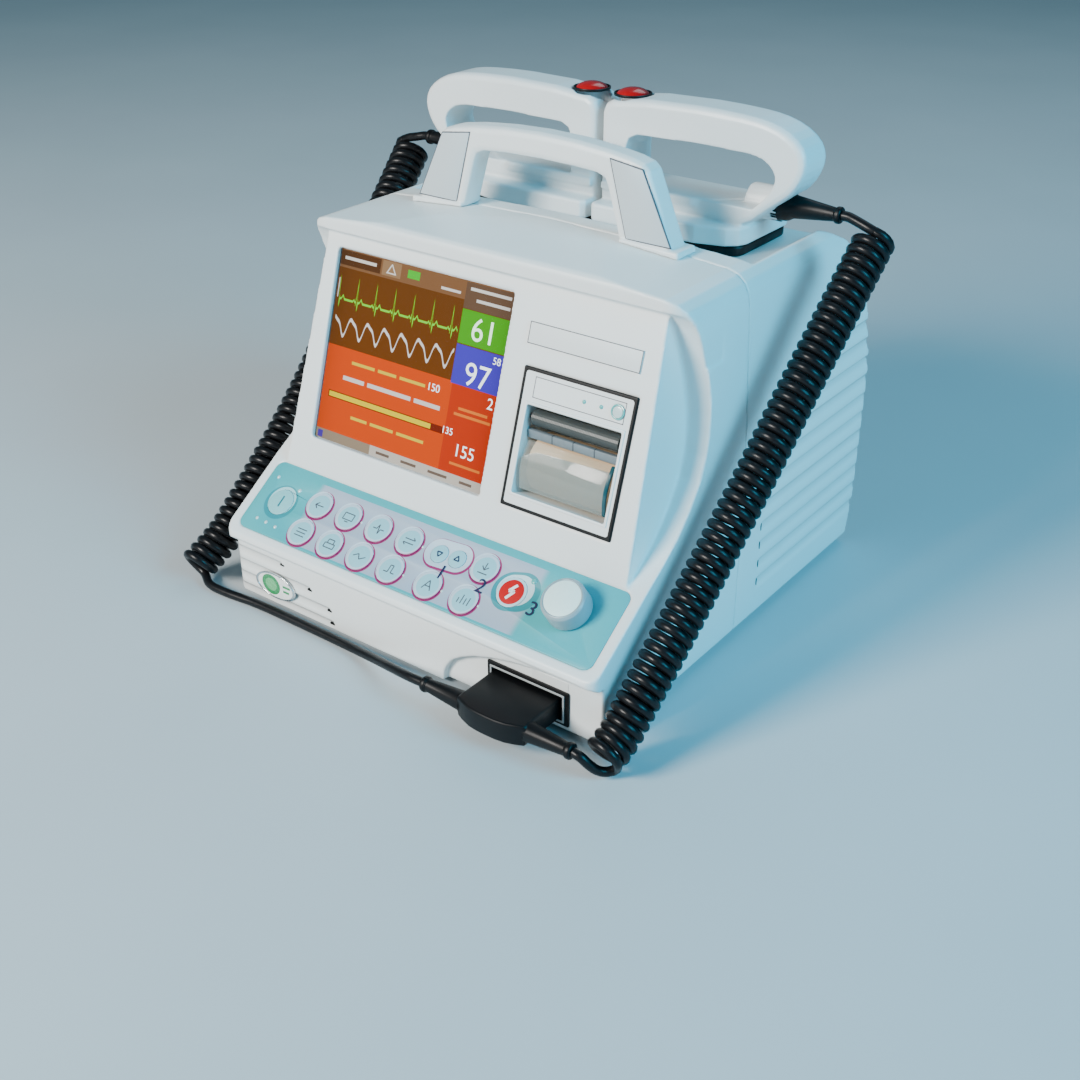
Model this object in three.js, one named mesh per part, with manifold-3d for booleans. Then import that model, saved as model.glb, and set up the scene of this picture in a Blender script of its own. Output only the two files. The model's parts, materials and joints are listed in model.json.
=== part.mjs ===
// A bedside defibrillator: two-part case, sloped key panel, screen, strip printer, rotary knob,
// carry handle, and two hand paddles on curly cords that plug into the front.
// Millimetres, +Z up, front towards -Y, origin on the floor at the middle of the footprint.
import * as THREE from 'three';
import { mergeVertices } from 'three/addons/utils/BufferGeometryUtils.js';
import Module from 'manifold-3d';

const wasm = await Module();
wasm.setup();

// ---------- driving dimensions ----------
const GAP = 0.3;                 // clearance between neighbouring pieces
const WALL = 3.4;                // thickness of the moulded shells
const HALF_WIDTH = 149.5;        // half the width of the case at its base
const CASE_BOTTOM = 3.5;         // height of the case floor above the table
const TAPER_START = 75;          // height above which the sides lean in
const SHOULDER_Z = 222;          // height where the top corner starts
const TOP_Z = 249.5;             // crown of the top surface
const FRONT_Y = -4;              // front wall below the lip
const FRONT_WALL_BACK = 5;       // its inner side, behind the scoop around the socket
const LIP_Y = -10.5;             // front edge of the key panel's lip
const REAR_Y = 319.5;            // rearmost point of the case
const SEAM_Y = 148;              // joint between front and rear case
const DESK_SLOPE = 34.3 * Math.PI / 180;   // key panel, from horizontal
const FACE_SLOPE = 72.4 * Math.PI / 180;   // screen panel, from horizontal
const DESK_ORIGIN = new THREE.Vector3(0, -4.5, 55);     // front edge of the key foil
const FACE_ORIGIN = new THREE.Vector3(0, 38.75, 84.5);  // foot of the screen panel
const FACE_HEIGHT = 156.5;
const FACE_HALF_TOP = 128;
const FACE_HALF_FOOT = 137;
const VISOR = { y: 81.5, halfWidth: 143.7, radius: 17 };   // brow over the screen, seen from above
const BAY_FLOOR = 230.7;         // floor of the paddle bay
const PADDLE_BASE = BAY_FLOOR + GAP;
const MIDDLE_Y = (LIP_Y + REAR_Y) / 2;

// ---------- small tools ----------
function toSolid(geometry) {
  let bare = geometry.index ? geometry.clone() : geometry;
  bare = bare.clone();
  bare.deleteAttribute('normal');
  bare.deleteAttribute('uv');
  bare = mergeVertices(bare, 1e-4);
  return new wasm.Manifold(new wasm.Mesh({
    numProp: 3,
    vertProperties: new Float32Array(bare.attributes.position.array),
    triVerts: new Uint32Array(bare.index.array),
  }));
}

function toGeometry(solid) {
  const mesh = solid.getMesh();
  const geometry = new THREE.BufferGeometry();
  geometry.setAttribute('position', new THREE.BufferAttribute(new Float32Array(mesh.vertProperties), 3));
  geometry.setIndex(new THREE.BufferAttribute(new Uint32Array(mesh.triVerts), 1));
  geometry.computeVertexNormals();
  return geometry;
}

function unite(solids) {
  return solids.reduce((whole, solid) => whole.add(solid));
}

const ALONG_X = new THREE.Matrix4().makeBasis(
  new THREE.Vector3(0, 1, 0), new THREE.Vector3(0, 0, 1), new THREE.Vector3(1, 0, 0));
const ALONG_MINUS_Y = new THREE.Matrix4().makeBasis(
  new THREE.Vector3(1, 0, 0), new THREE.Vector3(0, 0, 1), new THREE.Vector3(0, -1, 0));

function vectors(points) {
  return points.map(([a, b]) => new THREE.Vector2(a, b));
}

function shapeOf(points) {
  return new THREE.Shape(vectors(points));
}

// a smooth curve through the given points, as count + 1 points
function curve(points, count) {
  return new THREE.SplineCurve(vectors(points)).getPoints(count).map(({ x, y }) => [x, y]);
}

function extrude(shape, depth, options = {}) {
  return new THREE.ExtrudeGeometry(shape, { depth, bevelEnabled: false, curveSegments: 4, ...options });
}

// an outline in (y, z), swept from x0 to x1
function sweepX(shape, x0, x1, options) {
  return extrude(shape, x1 - x0, options).applyMatrix4(ALONG_X).translate(x0, 0, 0);
}

// an outline in (x, z), swept from y0 to y1
function sweepY(shape, y0, y1, options) {
  return extrude(shape, y1 - y0, options).applyMatrix4(ALONG_MINUS_Y).translate(0, y1, 0);
}

// an outline in (x, y), swept from z0 to z1
function sweepZ(shape, z0, z1, options) {
  return extrude(shape, z1 - z0, options).translate(0, 0, z0);
}

function box(x0, x1, y0, y1, z0, z1) {
  return new THREE.BoxGeometry(x1 - x0, y1 - y0, z1 - z0)
    .translate((x0 + x1) / 2, (y0 + y1) / 2, (z0 + z1) / 2);
}

function cylinder(radius, x, y, z0, z1, sides = 24) {
  return new THREE.CylinderGeometry(radius, radius, z1 - z0, sides)
    .rotateX(Math.PI / 2).translate(x, y, (z0 + z1) / 2);
}

function cylinderX(radius, x0, x1, y, z, sides = 24) {
  return new THREE.CylinderGeometry(radius, radius, x1 - x0, sides)
    .rotateZ(Math.PI / 2).translate((x0 + x1) / 2, y, z);
}

function roundedRect(x0, x1, y0, y1, radius) {
  const shape = new THREE.Shape();
  shape.moveTo(x0 + radius, y0);
  shape.lineTo(x1 - radius, y0);
  shape.absarc(x1 - radius, y0 + radius, radius, -Math.PI / 2, 0);
  shape.lineTo(x1, y1 - radius);
  shape.absarc(x1 - radius, y1 - radius, radius, 0, Math.PI / 2);
  shape.lineTo(x0 + radius, y1);
  shape.absarc(x0 + radius, y1 - radius, radius, Math.PI / 2, Math.PI);
  shape.lineTo(x0, y0 + radius);
  shape.absarc(x0 + radius, y0 + radius, radius, Math.PI, 1.5 * Math.PI);
  return shape;
}

// softened edges that stay inside the outline
function softEdge(radius, segments = 2) {
  return {
    bevelEnabled: true, bevelThickness: radius, bevelSize: radius, bevelOffset: -radius,
    bevelSegments: segments,
  };
}

// sweep with softened ends, keeping the full depth from a0 to a1
function softSweep(sweep, shape, a0, a1, radius, segments) {
  return sweep(shape, a0 + radius, a1 - radius, softEdge(radius, segments));
}

const deskMatrix = new THREE.Matrix4().makeRotationX(DESK_SLOPE).setPosition(DESK_ORIGIN);
const faceMatrix = new THREE.Matrix4().makeRotationX(FACE_SLOPE).setPosition(FACE_ORIGIN);

function onDesk(geometry) {
  return toSolid(geometry.clone().applyMatrix4(deskMatrix));
}

function onFace(geometry) {
  return toSolid(geometry.clone().applyMatrix4(faceMatrix));
}

// ---------- the outer form of the case ----------
// side view of the front edge: key panel, hollow cheek curve, visor
const CHEEK_CURVE = [[43, 87.4], [72, 107], [96, 134], [105, 160], [106, 182], [101, 204], [92, 226], [86, 234]];
const REAR_CURVE = [[205, 248.5], [240, 243.5], [272, 231.5], [297, 207], [310, 172], [317.5, 130],
  [REAR_Y, 98], [316.5, 45], [308, CASE_BOTTOM]];

function sideOutline() {
  return shapeOf([
    [FRONT_Y, CASE_BOTTOM], [FRONT_Y, 43.5], [LIP_Y + 0.5, 47], [LIP_Y, 49], [LIP_Y + 1.2, 51.7],
    ...curve(CHEEK_CURVE, 14),
    [VISOR.y, 236], [VISOR.y, 242.5], [82.2, 244.8], [85, 246.4], [SEAM_Y, TOP_Z],
    ...curve(REAR_CURVE, 16),
  ]);
}

function halfWidthAt(z) {
  const above = Math.max(0, z - TAPER_START) / (SHOULDER_Z - TAPER_START);
  return HALF_WIDTH - 6 * above ** 1.6;
}

function crossOutline(inset) {
  const shape = new THREE.Shape();
  const floor = CASE_BOTTOM + inset;
  const shoulder = SHOULDER_Z;
  const right = [];
  for (let step = 0; step <= 4; step += 1) {
    const z = TAPER_START + step * (shoulder - TAPER_START) / 4;
    right.push([halfWidthAt(z) - inset, z]);
  }
  const crownEdge = 127 - inset * 0.5;
  const edgeZ = 243 - inset;
  shape.moveTo(-(HALF_WIDTH - inset - 3), floor);
  shape.lineTo(HALF_WIDTH - inset - 3, floor);
  shape.lineTo(HALF_WIDTH - inset, floor + 3);
  right.forEach(([x, z]) => shape.lineTo(x, z));
  shape.quadraticCurveTo(142.6 - inset, 241 - inset, crownEdge, edgeZ);
  shape.quadraticCurveTo(0, 2 * (TOP_Z - inset) - edgeZ, -crownEdge, edgeZ);
  shape.quadraticCurveTo(-(142.6 - inset), 241 - inset, -right[4][0], right[4][1]);
  [...right].reverse().slice(1).forEach(([x, z]) => shape.lineTo(-x, z));
  shape.lineTo(-(HALF_WIDTH - inset), floor + 3);
  shape.closePath();
  return shape;
}

function planOutline(frontY, radius, inset) {
  return roundedRect(-HALF_WIDTH + inset, HALF_WIDTH - inset, frontY + inset, REAR_Y + 1 - inset, radius);
}

// the block that carries the screen and printer, standing proud of the cheeks
function faceBlock(inset) {
  const outline = shapeOf([
    [-FACE_HALF_FOOT + inset, -4 + inset], [FACE_HALF_FOOT - inset, -4 + inset],
    [FACE_HALF_TOP - inset, FACE_HEIGHT - inset], [-FACE_HALF_TOP + inset, FACE_HEIGHT - inset],
  ]);
  return onFace(sweepZ(outline, -48, -inset));
}

function caseForm() {
  const swept = toSolid(sweepX(sideOutline(), -HALF_WIDTH - 1, HALF_WIDTH + 1));
  const crossed = toSolid(sweepY(crossOutline(0), LIP_Y - 5, REAR_Y + 5));
  const planned = toSolid(sweepZ(planOutline(LIP_Y, 9, 0), 0, TOP_Z + 10));
  const block = faceBlock(0).intersect(toSolid(box(-200, 200, 30, 140, 84, 234)));
  const visorCorners = toSolid(box(-170, 170, 60, 120, 200, 260))
    .subtract(toSolid(sweepZ(roundedRect(-VISOR.halfWidth, VISOR.halfWidth, VISOR.y, 300, VISOR.radius), 199, 261)));
  const lowerCorners = toSolid(box(-170, 170, -40, 60, 0, 43.4))
    .subtract(toSolid(sweepZ(planOutline(FRONT_Y, 9, 0), -1, 44)));
  return swept.intersect(crossed).intersect(planned).subtract(visorCorners).add(block).subtract(lowerCorners);
}

// hollow inside of both halves
function caseCavity() {
  const inner = shapeOf([
    [FRONT_WALL_BACK, CASE_BOTTOM + WALL], [FRONT_WALL_BACK, 54], [45, 84], [74.5, 104], [99, 132],
    [108.5, 160], [109.3, 183], [104, 206], [91.5, 235], [91.5, 242],
    [SEAM_Y, TOP_Z - WALL - 0.5], [152, TOP_Z - WALL - 0.5], [170, BAY_FLOOR - WALL], [267, BAY_FLOOR - WALL],
    ...curve([[292, 206], [305.5, 172], [313, 130], [315, 98], [312, 45], [304, CASE_BOTTOM + WALL]], 8),
  ]);
  const swept = toSolid(sweepX(inner, -HALF_WIDTH, HALF_WIDTH));
  const crossed = toSolid(sweepY(crossOutline(WALL), -30, REAR_Y + 5));
  const planned = toSolid(sweepZ(planOutline(FRONT_Y, 8, WALL), 0, TOP_Z));
  const block = faceBlock(WALL + 0.2).intersect(toSolid(box(-200, 200, 20, 120, 60, 236)));
  return swept.intersect(crossed).intersect(planned).add(block);
}

// ---------- openings cut in the case ----------
const SCREEN = { x0: -117.3, x1: 23.7, v0: 23.3, v1: 147.3 };
const PRINTER = { x0: 42, x1: 119, v0: 25.2, v1: 107.2 };         // white frame
const PRINTER_BAY = { x0: 47.5, x1: 114.5, v0: 33, v1: 87, depth: 42 };
const KEY_FOIL = { halfWidth: 142, v1: 52.4, radius: 6 };
const KNOB = { x: 111.5, v: 29.9, radius: 14.2, height: 14 };
const SOCKET = { x0: 66.4, x1: 126, z0: 7, z1: 31 };
const RECESS_Y = 0.5;            // depth of the scoop around the socket

function socketScoop() {
  const arch = shapeOf([
    [34, -5], ...curve([[34.5, 10], [41, 21], [59, 31], [85, 38], [111, 41], [140, 43.4]], 10),
    [170, 43.4], [170, -5],
  ]);
  return toSolid(sweepY(arch, -20, RECESS_Y));
}

const FRONT_RIBS = [[38, -103], [28, -78], [18.5, -61], [9.5, -58.5]];    // [height, right end]

function frontRibs() {
  return unite(FRONT_RIBS.map(([z, end]) => {
    const step = shapeOf([[FRONT_Y - 3, z], [FRONT_Y + 2.4, z], [FRONT_Y - 0.2, z - 7], [FRONT_Y - 3, z - 7]]);
    const groove = toSolid(sweepX(step, -HALF_WIDTH - 2, end));
    return groove.add(toSolid(box(end - 1.4, end, FRONT_Y - 3, FRONT_Y + 6, z - 3.2, z - 0.2)));
  }));
}

const SIDE_RIB_COUNT = 11;
const SIDE_RIB_PITCH = 13.6;
const SIDE_RIB_FIRST = 32;
const SIDE_RIB_START = 174.5;    // front ends of the lowest ribs

function sideRibs() {
  const cuts = [];
  for (let index = 0; index < SIDE_RIB_COUNT; index += 1) {
    const z = SIDE_RIB_FIRST + index * SIDE_RIB_PITCH;
    const start = SIDE_RIB_START + 0.0042 * Math.max(0, z - 72) ** 2;
    const face = halfWidthAt(z);
    for (const side of [-1, 1]) {
      const step = shapeOf([[side * (face + 4), z], [side * (face - 2.3), z],
        [side * (face + 0.2), z - 9.5], [side * (face + 4), z - 9.5]]);
      cuts.push(toSolid(sweepY(step, start, REAR_Y + 4)));
    }
  }
  return unite(cuts);
}

function sideVents() {
  const slots = [];
  for (let index = 0; index < 4; index += 1) {
    const z = SIDE_RIB_FIRST + index * SIDE_RIB_PITCH;
    for (const side of [-1, 1]) {
      slots.push(toSolid(box(side * 150 - 8, side * 150 + 8, SIDE_RIB_START, SIDE_RIB_START + 1.6,
        z - 4.2, z - 0.3)));
    }
  }
  return unite(slots);
}

function paddleBay() {
  const side = shapeOf([[160, TOP_Z + 8], [164, 246], [176, BAY_FLOOR], [340, BAY_FLOOR], [340, TOP_Z + 8]]);
  const across = shapeOf([[-141, TOP_Z + 8], [-137, 246], [-122, BAY_FLOOR], [122, BAY_FLOOR],
    [137, 246], [141, TOP_Z + 8]]);
  return toSolid(sweepX(side, -150, 150)).intersect(toSolid(sweepY(across, 150, 345)));
}

const HANDLE_FRONT = 137.3;
const HANDLE_BACK = 155.3;
const INLET = { x0: -122, x1: -66, z0: 28, z1: 62, faceY: 310.5 };
const PATIENT_PLATE = { y0: 82, y1: 142, z0: 20, z1: 52 };

function frontCase(form, cavity) {
  const screenHole = onFace(sweepZ(roundedRect(SCREEN.x0 - GAP, SCREEN.x1 + GAP, SCREEN.v0 - GAP,
    SCREEN.v1 + GAP, 2), -8, 5));
  const printerHole = onFace(box(PRINTER_BAY.x0 - 2.2, PRINTER_BAY.x1 + 2.2, PRINTER_BAY.v0 - 2.2,
    PRINTER_BAY.v1 + 2.2, -10, 5));
  const printerSeat = onFace(sweepZ(roundedRect(PRINTER.x0 - 1.4, PRINTER.x1 + 1.4, PRINTER.v0 - 1.4,
    PRINTER.v1 + 1.4, 2), -1.3, 5));
  const foilSeat = onDesk(sweepZ(roundedRect(-KEY_FOIL.halfWidth - GAP, KEY_FOIL.halfWidth + GAP, -GAP,
    KEY_FOIL.v1 + GAP, KEY_FOIL.radius), -1.6, 4));
  const spindleHole = onDesk(cylinder(4, KNOB.x, KNOB.v, -12, 4));
  const socketHole = toSolid(box(SOCKET.x0 + 1, SOCKET.x1 - 1, -20, 12, SOCKET.z0 + 1, SOCKET.z1 - 1));
  const plateHole = toSolid(box(-160, -140, PATIENT_PLATE.y0 + 3, PATIENT_PLATE.y1 - 3,
    PATIENT_PLATE.z0 + 3, PATIENT_PLATE.z1 - 3));
  const half = form.intersect(toSolid(box(-170, 170, -40, SEAM_Y, -5, 270)));
  return [socketScoop(), cavity, screenHole, printerHole, printerSeat, foilSeat, spindleHole,
    socketHole, plateHole, frontRibs()].reduce((left, cut) => left.subtract(cut), half);
}

function rearCase(form, cavity) {
  const half = form.intersect(toSolid(box(-170, 170, SEAM_Y + 0.4, 340, -5, 270)));
  const inletSeat = toSolid(box(INLET.x0 - GAP, INLET.x1 + GAP, INLET.faceY, 330, INLET.z0 - GAP,
    INLET.z1 + GAP));
  const inletHole = toSolid(box(INLET.x0 + 10, INLET.x1 - 10, 300, 330, INLET.z0 + 5, INLET.z1 - 5));
  return [paddleBay(), cavity, sideRibs(), sideVents(), inletSeat, inletHole]
    .reduce((left, cut) => left.subtract(cut), half);
}

// ---------- carry handle ----------
const GRIP_OUTER = [[77.5, 291.5], [73.5, 295.2], [66, 297.4], [50, 299.8], [26, 301.9], [0, 302.6]];
const GRIP_INNER = [[49.2, 279], [47.3, 283], [42, 285], [26, 286.1], [0, 286.7]];

function mirrored(points) {
  return [...points, ...[...points].reverse().slice(1).map(([x, z]) => [-x, z])];
}

function handleOutline() {
  const outer = mirrored([[99.5, 240], ...GRIP_OUTER]);
  const inner = mirrored([[61, 240], ...GRIP_INNER]).reverse();
  return shapeOf([...outer, ...inner]);
}

function legPanelOutline(side, grow) {
  return shapeOf([[side * (64.5 - grow), 251.2 - grow], [side * (94.6 + grow), 251.2 - grow],
    [side * (74.3 + grow), 292.4 + grow], [side * (52.4 - grow), 295.4 + grow]]);
}

function carryHandle(form) {
  let handle = toSolid(softSweep(sweepY, handleOutline(), HANDLE_FRONT, HANDLE_BACK, 4, 2));
  for (const side of [-1, 1]) {
    const foot = shapeOf([[side * 57.5, 240], [side * 102, 240], [side * 100.6, 249.2], [side * 60, 250.6]]);
    handle = handle.add(toSolid(softSweep(sweepY, foot, HANDLE_FRONT - 1.5, HANDLE_BACK + 1.5, 1, 1)));
    handle = handle.subtract(toSolid(sweepY(legPanelOutline(side, GAP), 100, HANDLE_FRONT + 1.2)));
  }
  return handle.subtract(form.translate(0, 0, GAP));
}

function legPanel(side) {
  return toSolid(sweepY(legPanelOutline(side, 0), HANDLE_FRONT + 0.1, HANDLE_FRONT + 0.9));
}

// ---------- paddles ----------
// each is drawn for the right hand; side -1 mirrors it
const PADDLE = { x0: 2, x1: 108, y0: 188, y1: 268, trayZ: 238, trayTop: 250, rimZ: 256.5, deckZ: 262 };
const GRIP_Y0 = 200;
const GRIP_Y1 = 230;
const BUTTON = { x: 15.5, y: 215, radius: 10.6, bottom: 307, top: 314, travel: 3 };
const BOOT = { y: 222, z: 261.5, x0: 117, x1: 160 };

function span(side, low, high) {
  return side > 0 ? [low, high] : [-high, -low];
}

function paddleHandle(side) {
  const at = (points) => shapeOf(points.map(([x, z]) => [side * x, z]));
  const outer = at([[2, 250], [2, 304], [4, 309.5], [9, 312.3],
    ...curve([[35, 315.2], [70, 316], [100, 315], [118, 312.8], [131.5, 308], [140.5, 300.8], [143.7, 292],
      [141.6, 282.5], [135.2, 273], [122, 262.5], [112, 254]], 20),
    [104, 250]]);
  const gap = at([[21, PADDLE.deckZ], [21, 285.6], [23, 291], [28.5, 293.6],
    ...curve([[70, 294.8], [103, 294.2], [116.4, 292], [123.6, 286.4], [125.2, 280], [121.6, 272],
      [112, PADDLE.deckZ]], 12)]);
  return toSolid(softSweep(sweepY, outer, GRIP_Y0, GRIP_Y1, 4, 2))
    .subtract(toSolid(sweepY(gap, GRIP_Y0 - 5, GRIP_Y1 + 5)));
}

function trayOutline(side) {
  const { x0, x1, y0, y1 } = PADDLE;
  return shapeOf([[x0, y0 + 3], [x0 + 3, y0], [80, y0], [99, 193.5], [105.5, 199], [x1, 206], [x1, y1 - 13],
    [x1 - 4, y1 - 4], [x1 - 13, y1], [x0 + 4, y1], [x0, y1 - 4]].map(([x, y]) => [side * x, y]));
}

function deckOutline(side, inset) {
  return shapeOf([[4 + inset, 198 + inset], [70, 198 + inset], [84, 203 + inset], [103 - inset, 221 + inset],
    [103 - inset, 232 - inset], [98 - inset, 237 - inset], [4 + inset, 237 - inset]]
    .map(([x, y]) => [side * x, y]));
}

function paddleShell(side) {
  const tray = toSolid(softSweep(sweepZ, trayOutline(side), PADDLE.trayZ, PADDLE.trayTop, 1.2, 1));
  const neck = toSolid(sweepZ(deckOutline(side, 4), PADDLE.trayTop - 1, PADDLE.rimZ + 1));
  const rim = toSolid(softSweep(sweepZ, deckOutline(side, 0), PADDLE.rimZ, PADDLE.deckZ + 0.5, 1, 1));
  const collar = toSolid(cylinderX(10.5, ...span(side, 100, 122), BOOT.y, BOOT.z, 20));
  const well = toSolid(cylinder(BUTTON.radius + 1.6, side * BUTTON.x, BUTTON.y, BUTTON.bottom - 4, 330));
  const bootSeat = toSolid(cylinderX(10.2, ...span(side, BOOT.x0 - GAP, 150), BOOT.y, BOOT.z, 20));
  return unite([tray, neck, rim, paddleHandle(side), collar]).subtract(well).subtract(bootSeat);
}

const CARRIER = { x0: 7, x1: 106, y0: 197, y1: 263 };

function electrodeCarrier(side) {
  const { y0, y1 } = CARRIER;
  const [x0, x1] = span(side, CARRIER.x0, CARRIER.x1);
  const outline = roundedRect(x0, x1, y0, y1, 10);
  const pocket = roundedRect(x0 + 4, x1 - 4, y0 + 4, y1 - 4, 7);
  return toSolid(softSweep(sweepZ, outline, PADDLE_BASE, PADDLE.trayZ - GAP, 1, 1))
    .subtract(toSolid(sweepZ(pocket, PADDLE_BASE - 1, PADDLE_BASE + 1.6)));
}

function electrodePlate(side) {
  const { y0, y1 } = CARRIER;
  const [x0, x1] = span(side, CARRIER.x0, CARRIER.x1);
  const outline = roundedRect(x0 + 4.3, x1 - 4.3, y0 + 4.3, y1 - 4.3, 6.7);
  return toSolid(sweepZ(outline, PADDLE_BASE, PADDLE_BASE + 1.3));
}

function dischargeButton() {
  const crown = [];
  for (let step = 0; step <= 3; step += 1) {
    const angle = step * Math.PI / 6;
    crown.push(new THREE.Vector2(BUTTON.radius * Math.cos(angle), BUTTON.top + 4.5 * Math.sin(angle)));
  }
  const profile = [new THREE.Vector2(0, BUTTON.bottom), new THREE.Vector2(BUTTON.radius, BUTTON.bottom), ...crown];
  profile[profile.length - 1].x = 0;
  return new THREE.LatheGeometry(profile, 24).rotateX(Math.PI / 2);
}

// tapered rubber sleeve along +X from the origin: an optional collar, the taper, an end bead
function bootProfile(length, collar, baseRadius, tipRadius) {
  const points = collar ? [[0, 0], [9.4, 0], [9.8, 3], [9, 9], [baseRadius, 12.5]] : [[0, 0], [baseRadius, 0]];
  points.push([tipRadius, length - 4], [tipRadius + 1, length - 3.4], [tipRadius + 1, length - 0.8],
    [tipRadius + 0.3, length], [0, length]);
  return new THREE.LatheGeometry(vectors(points), 16).rotateZ(-Math.PI / 2);
}

// ---------- plug and socket ----------
const PLUG = { x0: 70.5, x1: 119.5, z0: 11, z1: 25, front: -38, nose: 9 };
const BOOT_Y = -29;
const BOOT_Z = 18.5;

function paddleSocket() {
  const flange = toSolid(sweepY(roundedRect(SOCKET.x0, SOCKET.x1, SOCKET.z0, SOCKET.z1, 1), RECESS_Y - 1.3,
    RECESS_Y - GAP));
  const tub = toSolid(box(SOCKET.x0 + 1.4, SOCKET.x1 - 1.4, RECESS_Y - 1, 24, SOCKET.z0 + 1.4, SOCKET.z1 - 1.4));
  const mouth = toSolid(box(PLUG.x0 - 1.5, PLUG.x1 + 3, -10, 20, PLUG.z0 - 1.2, PLUG.z1 + 2.8));
  return flange.add(tub).subtract(mouth);
}

function plugBody() {
  const outline = shapeOf([
    [PLUG.x0, PLUG.nose], ...curve([[PLUG.x0, -34], [82, -38.6], [95, -39.6], [108, -38.6], [PLUG.x1, -34]], 8),
    [PLUG.x1, PLUG.nose],
  ]);
  const body = toSolid(softSweep(sweepZ, outline, PLUG.z0, PLUG.z1, 0.8, 1));
  const boots = [[PLUG.x1 - 1, 1], [PLUG.x0 + 1, -1]].map(([x, side]) => {
    const boot = bootProfile(31, false, 6.3, 4.1);
    if (side < 0) boot.rotateZ(Math.PI);
    return toSolid(boot.translate(x, BOOT_Y, BOOT_Z));
  });
  return unite([body, ...boots]);
}

// ---------- cords ----------
const CORD_RADIUS = 3;
const CURL_RADIUS = 13;
const RIGHT_CURL = [[180, 227, 250], [178, 193, 217], [175, 153, 176], [173, 115, 138], [170, 80, 102],
  [168, 45, 69], [166, 13, 40], [164.5, -4, 23.5], [163, -19, 14.5]];
const LEFT_CURL = [[-180, 227, 250], [-174, 197, 225], [-170, 165, 196], [-167, 130, 156], [-166, 95, 116],
  [-166, 62, 84], [-168, 33, 56], [-172, 8, 31], [-177, -15, 14.5]];
const RIGHT_TOP_LEAD = [[160.3, 222, 261.5], [164, 222, 261.5], [167.5, 221.9, 261.3]];
const LEFT_TOP_LEAD = RIGHT_TOP_LEAD.map(([x, y, z]) => [-x, y, z]);
const RIGHT_PLUG_LEAD = [[150.4, -29, 18.5], [155, -28.9, 17.2], [159.5, -27.6, 12.5], [162.5, -25.6, 8.5]];
const LEFT_PLUG_LEAD = [[39.9, -29, 18.5], [28, -28.4, 17.6], [8, -23.4, 13.4], [-12, -17.4, 8.2],
  [-34, -13, 4.4], [-60, -11.6, 3.3], [-100, -11.4, 3.2], [-138, -12, 3.2], [-156, -15.6, 3.4],
  [-166, -20.4, 4.6]];

function tube(points, radius, sides, steps) {
  const path = new THREE.CatmullRomCurve3(points.map((point) => new THREE.Vector3(...point)));
  const section = new THREE.Shape();
  section.absarc(0, 0, radius, 0, 2 * Math.PI);
  return new THREE.ExtrudeGeometry(section, {
    steps, extrudePath: path, curveSegments: sides / 2, bevelEnabled: false,
  });
}

// ---------- printer ----------
function printerFrame() {
  const plate = toSolid(sweepZ(roundedRect(PRINTER.x0, PRINTER.x1, PRINTER.v0, PRINTER.v1, 2.5), -1, 0.8));
  const bay = PRINTER_BAY;
  const tub = toSolid(box(bay.x0 - 1.8, bay.x1 + 1.8, bay.v0 - 1.8, bay.v1 + 1.8, -bay.depth, -0.5));
  const hollow = toSolid(box(bay.x0, bay.x1, bay.v0, bay.v1, -bay.depth + 1.8, 5));
  const axle = toSolid(cylinderX(1.8, bay.x0 - 3, bay.x1 + 3, PLATEN.v, PLATEN.n, 12));
  const button = toSolid(cylinder(FEED.radius + GAP, FEED.x, FEED.v, -3, 3, 20));
  return plate.add(tub).subtract(hollow).subtract(axle).subtract(button);
}

const PLATEN = { v: 79.5, n: -6.2, radius: 5.2 };
const ROLL = { v: 52, n: -20.8, radius: 18 };
const FEED = { x: 108.9, v: 97.5, radius: 4.1 };
const DOOR = { x0: 50, x1: 112, v0: 36, v1: 66 };

function printerDoor() {
  const outer = [];
  const inner = [];
  for (let step = 0; step <= 8; step += 1) {
    const part = step / 8;
    const v = DOOR.v0 + part * (DOOR.v1 - DOOR.v0);
    const bulge = 3.6 * Math.sin(Math.PI * part);
    outer.push([v, -2.6 + bulge]);
    inner.push([v, -4.2 + bulge]);
  }
  return toSolid(sweepX(shapeOf([...outer, ...inner.reverse()]), DOOR.x0, DOOR.x1));
}

function platenRoller() {
  const { v, n, radius } = PLATEN;
  const rubber = toSolid(cylinderX(radius, PRINTER_BAY.x0 + 3, PRINTER_BAY.x1 - 3, v, n, 20));
  return rubber.add(toSolid(cylinderX(1.5, PRINTER_BAY.x0 - 1.2, PRINTER_BAY.x1 + 1.2, v, n, 12)));
}

function paperRoll() {
  const { v, n, radius } = ROLL;
  return toSolid(cylinderX(radius, 52.5, 109.5, v, n, 32))
    .subtract(toSolid(cylinderX(6, 50, 112, v, n, 16)));
}

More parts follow.
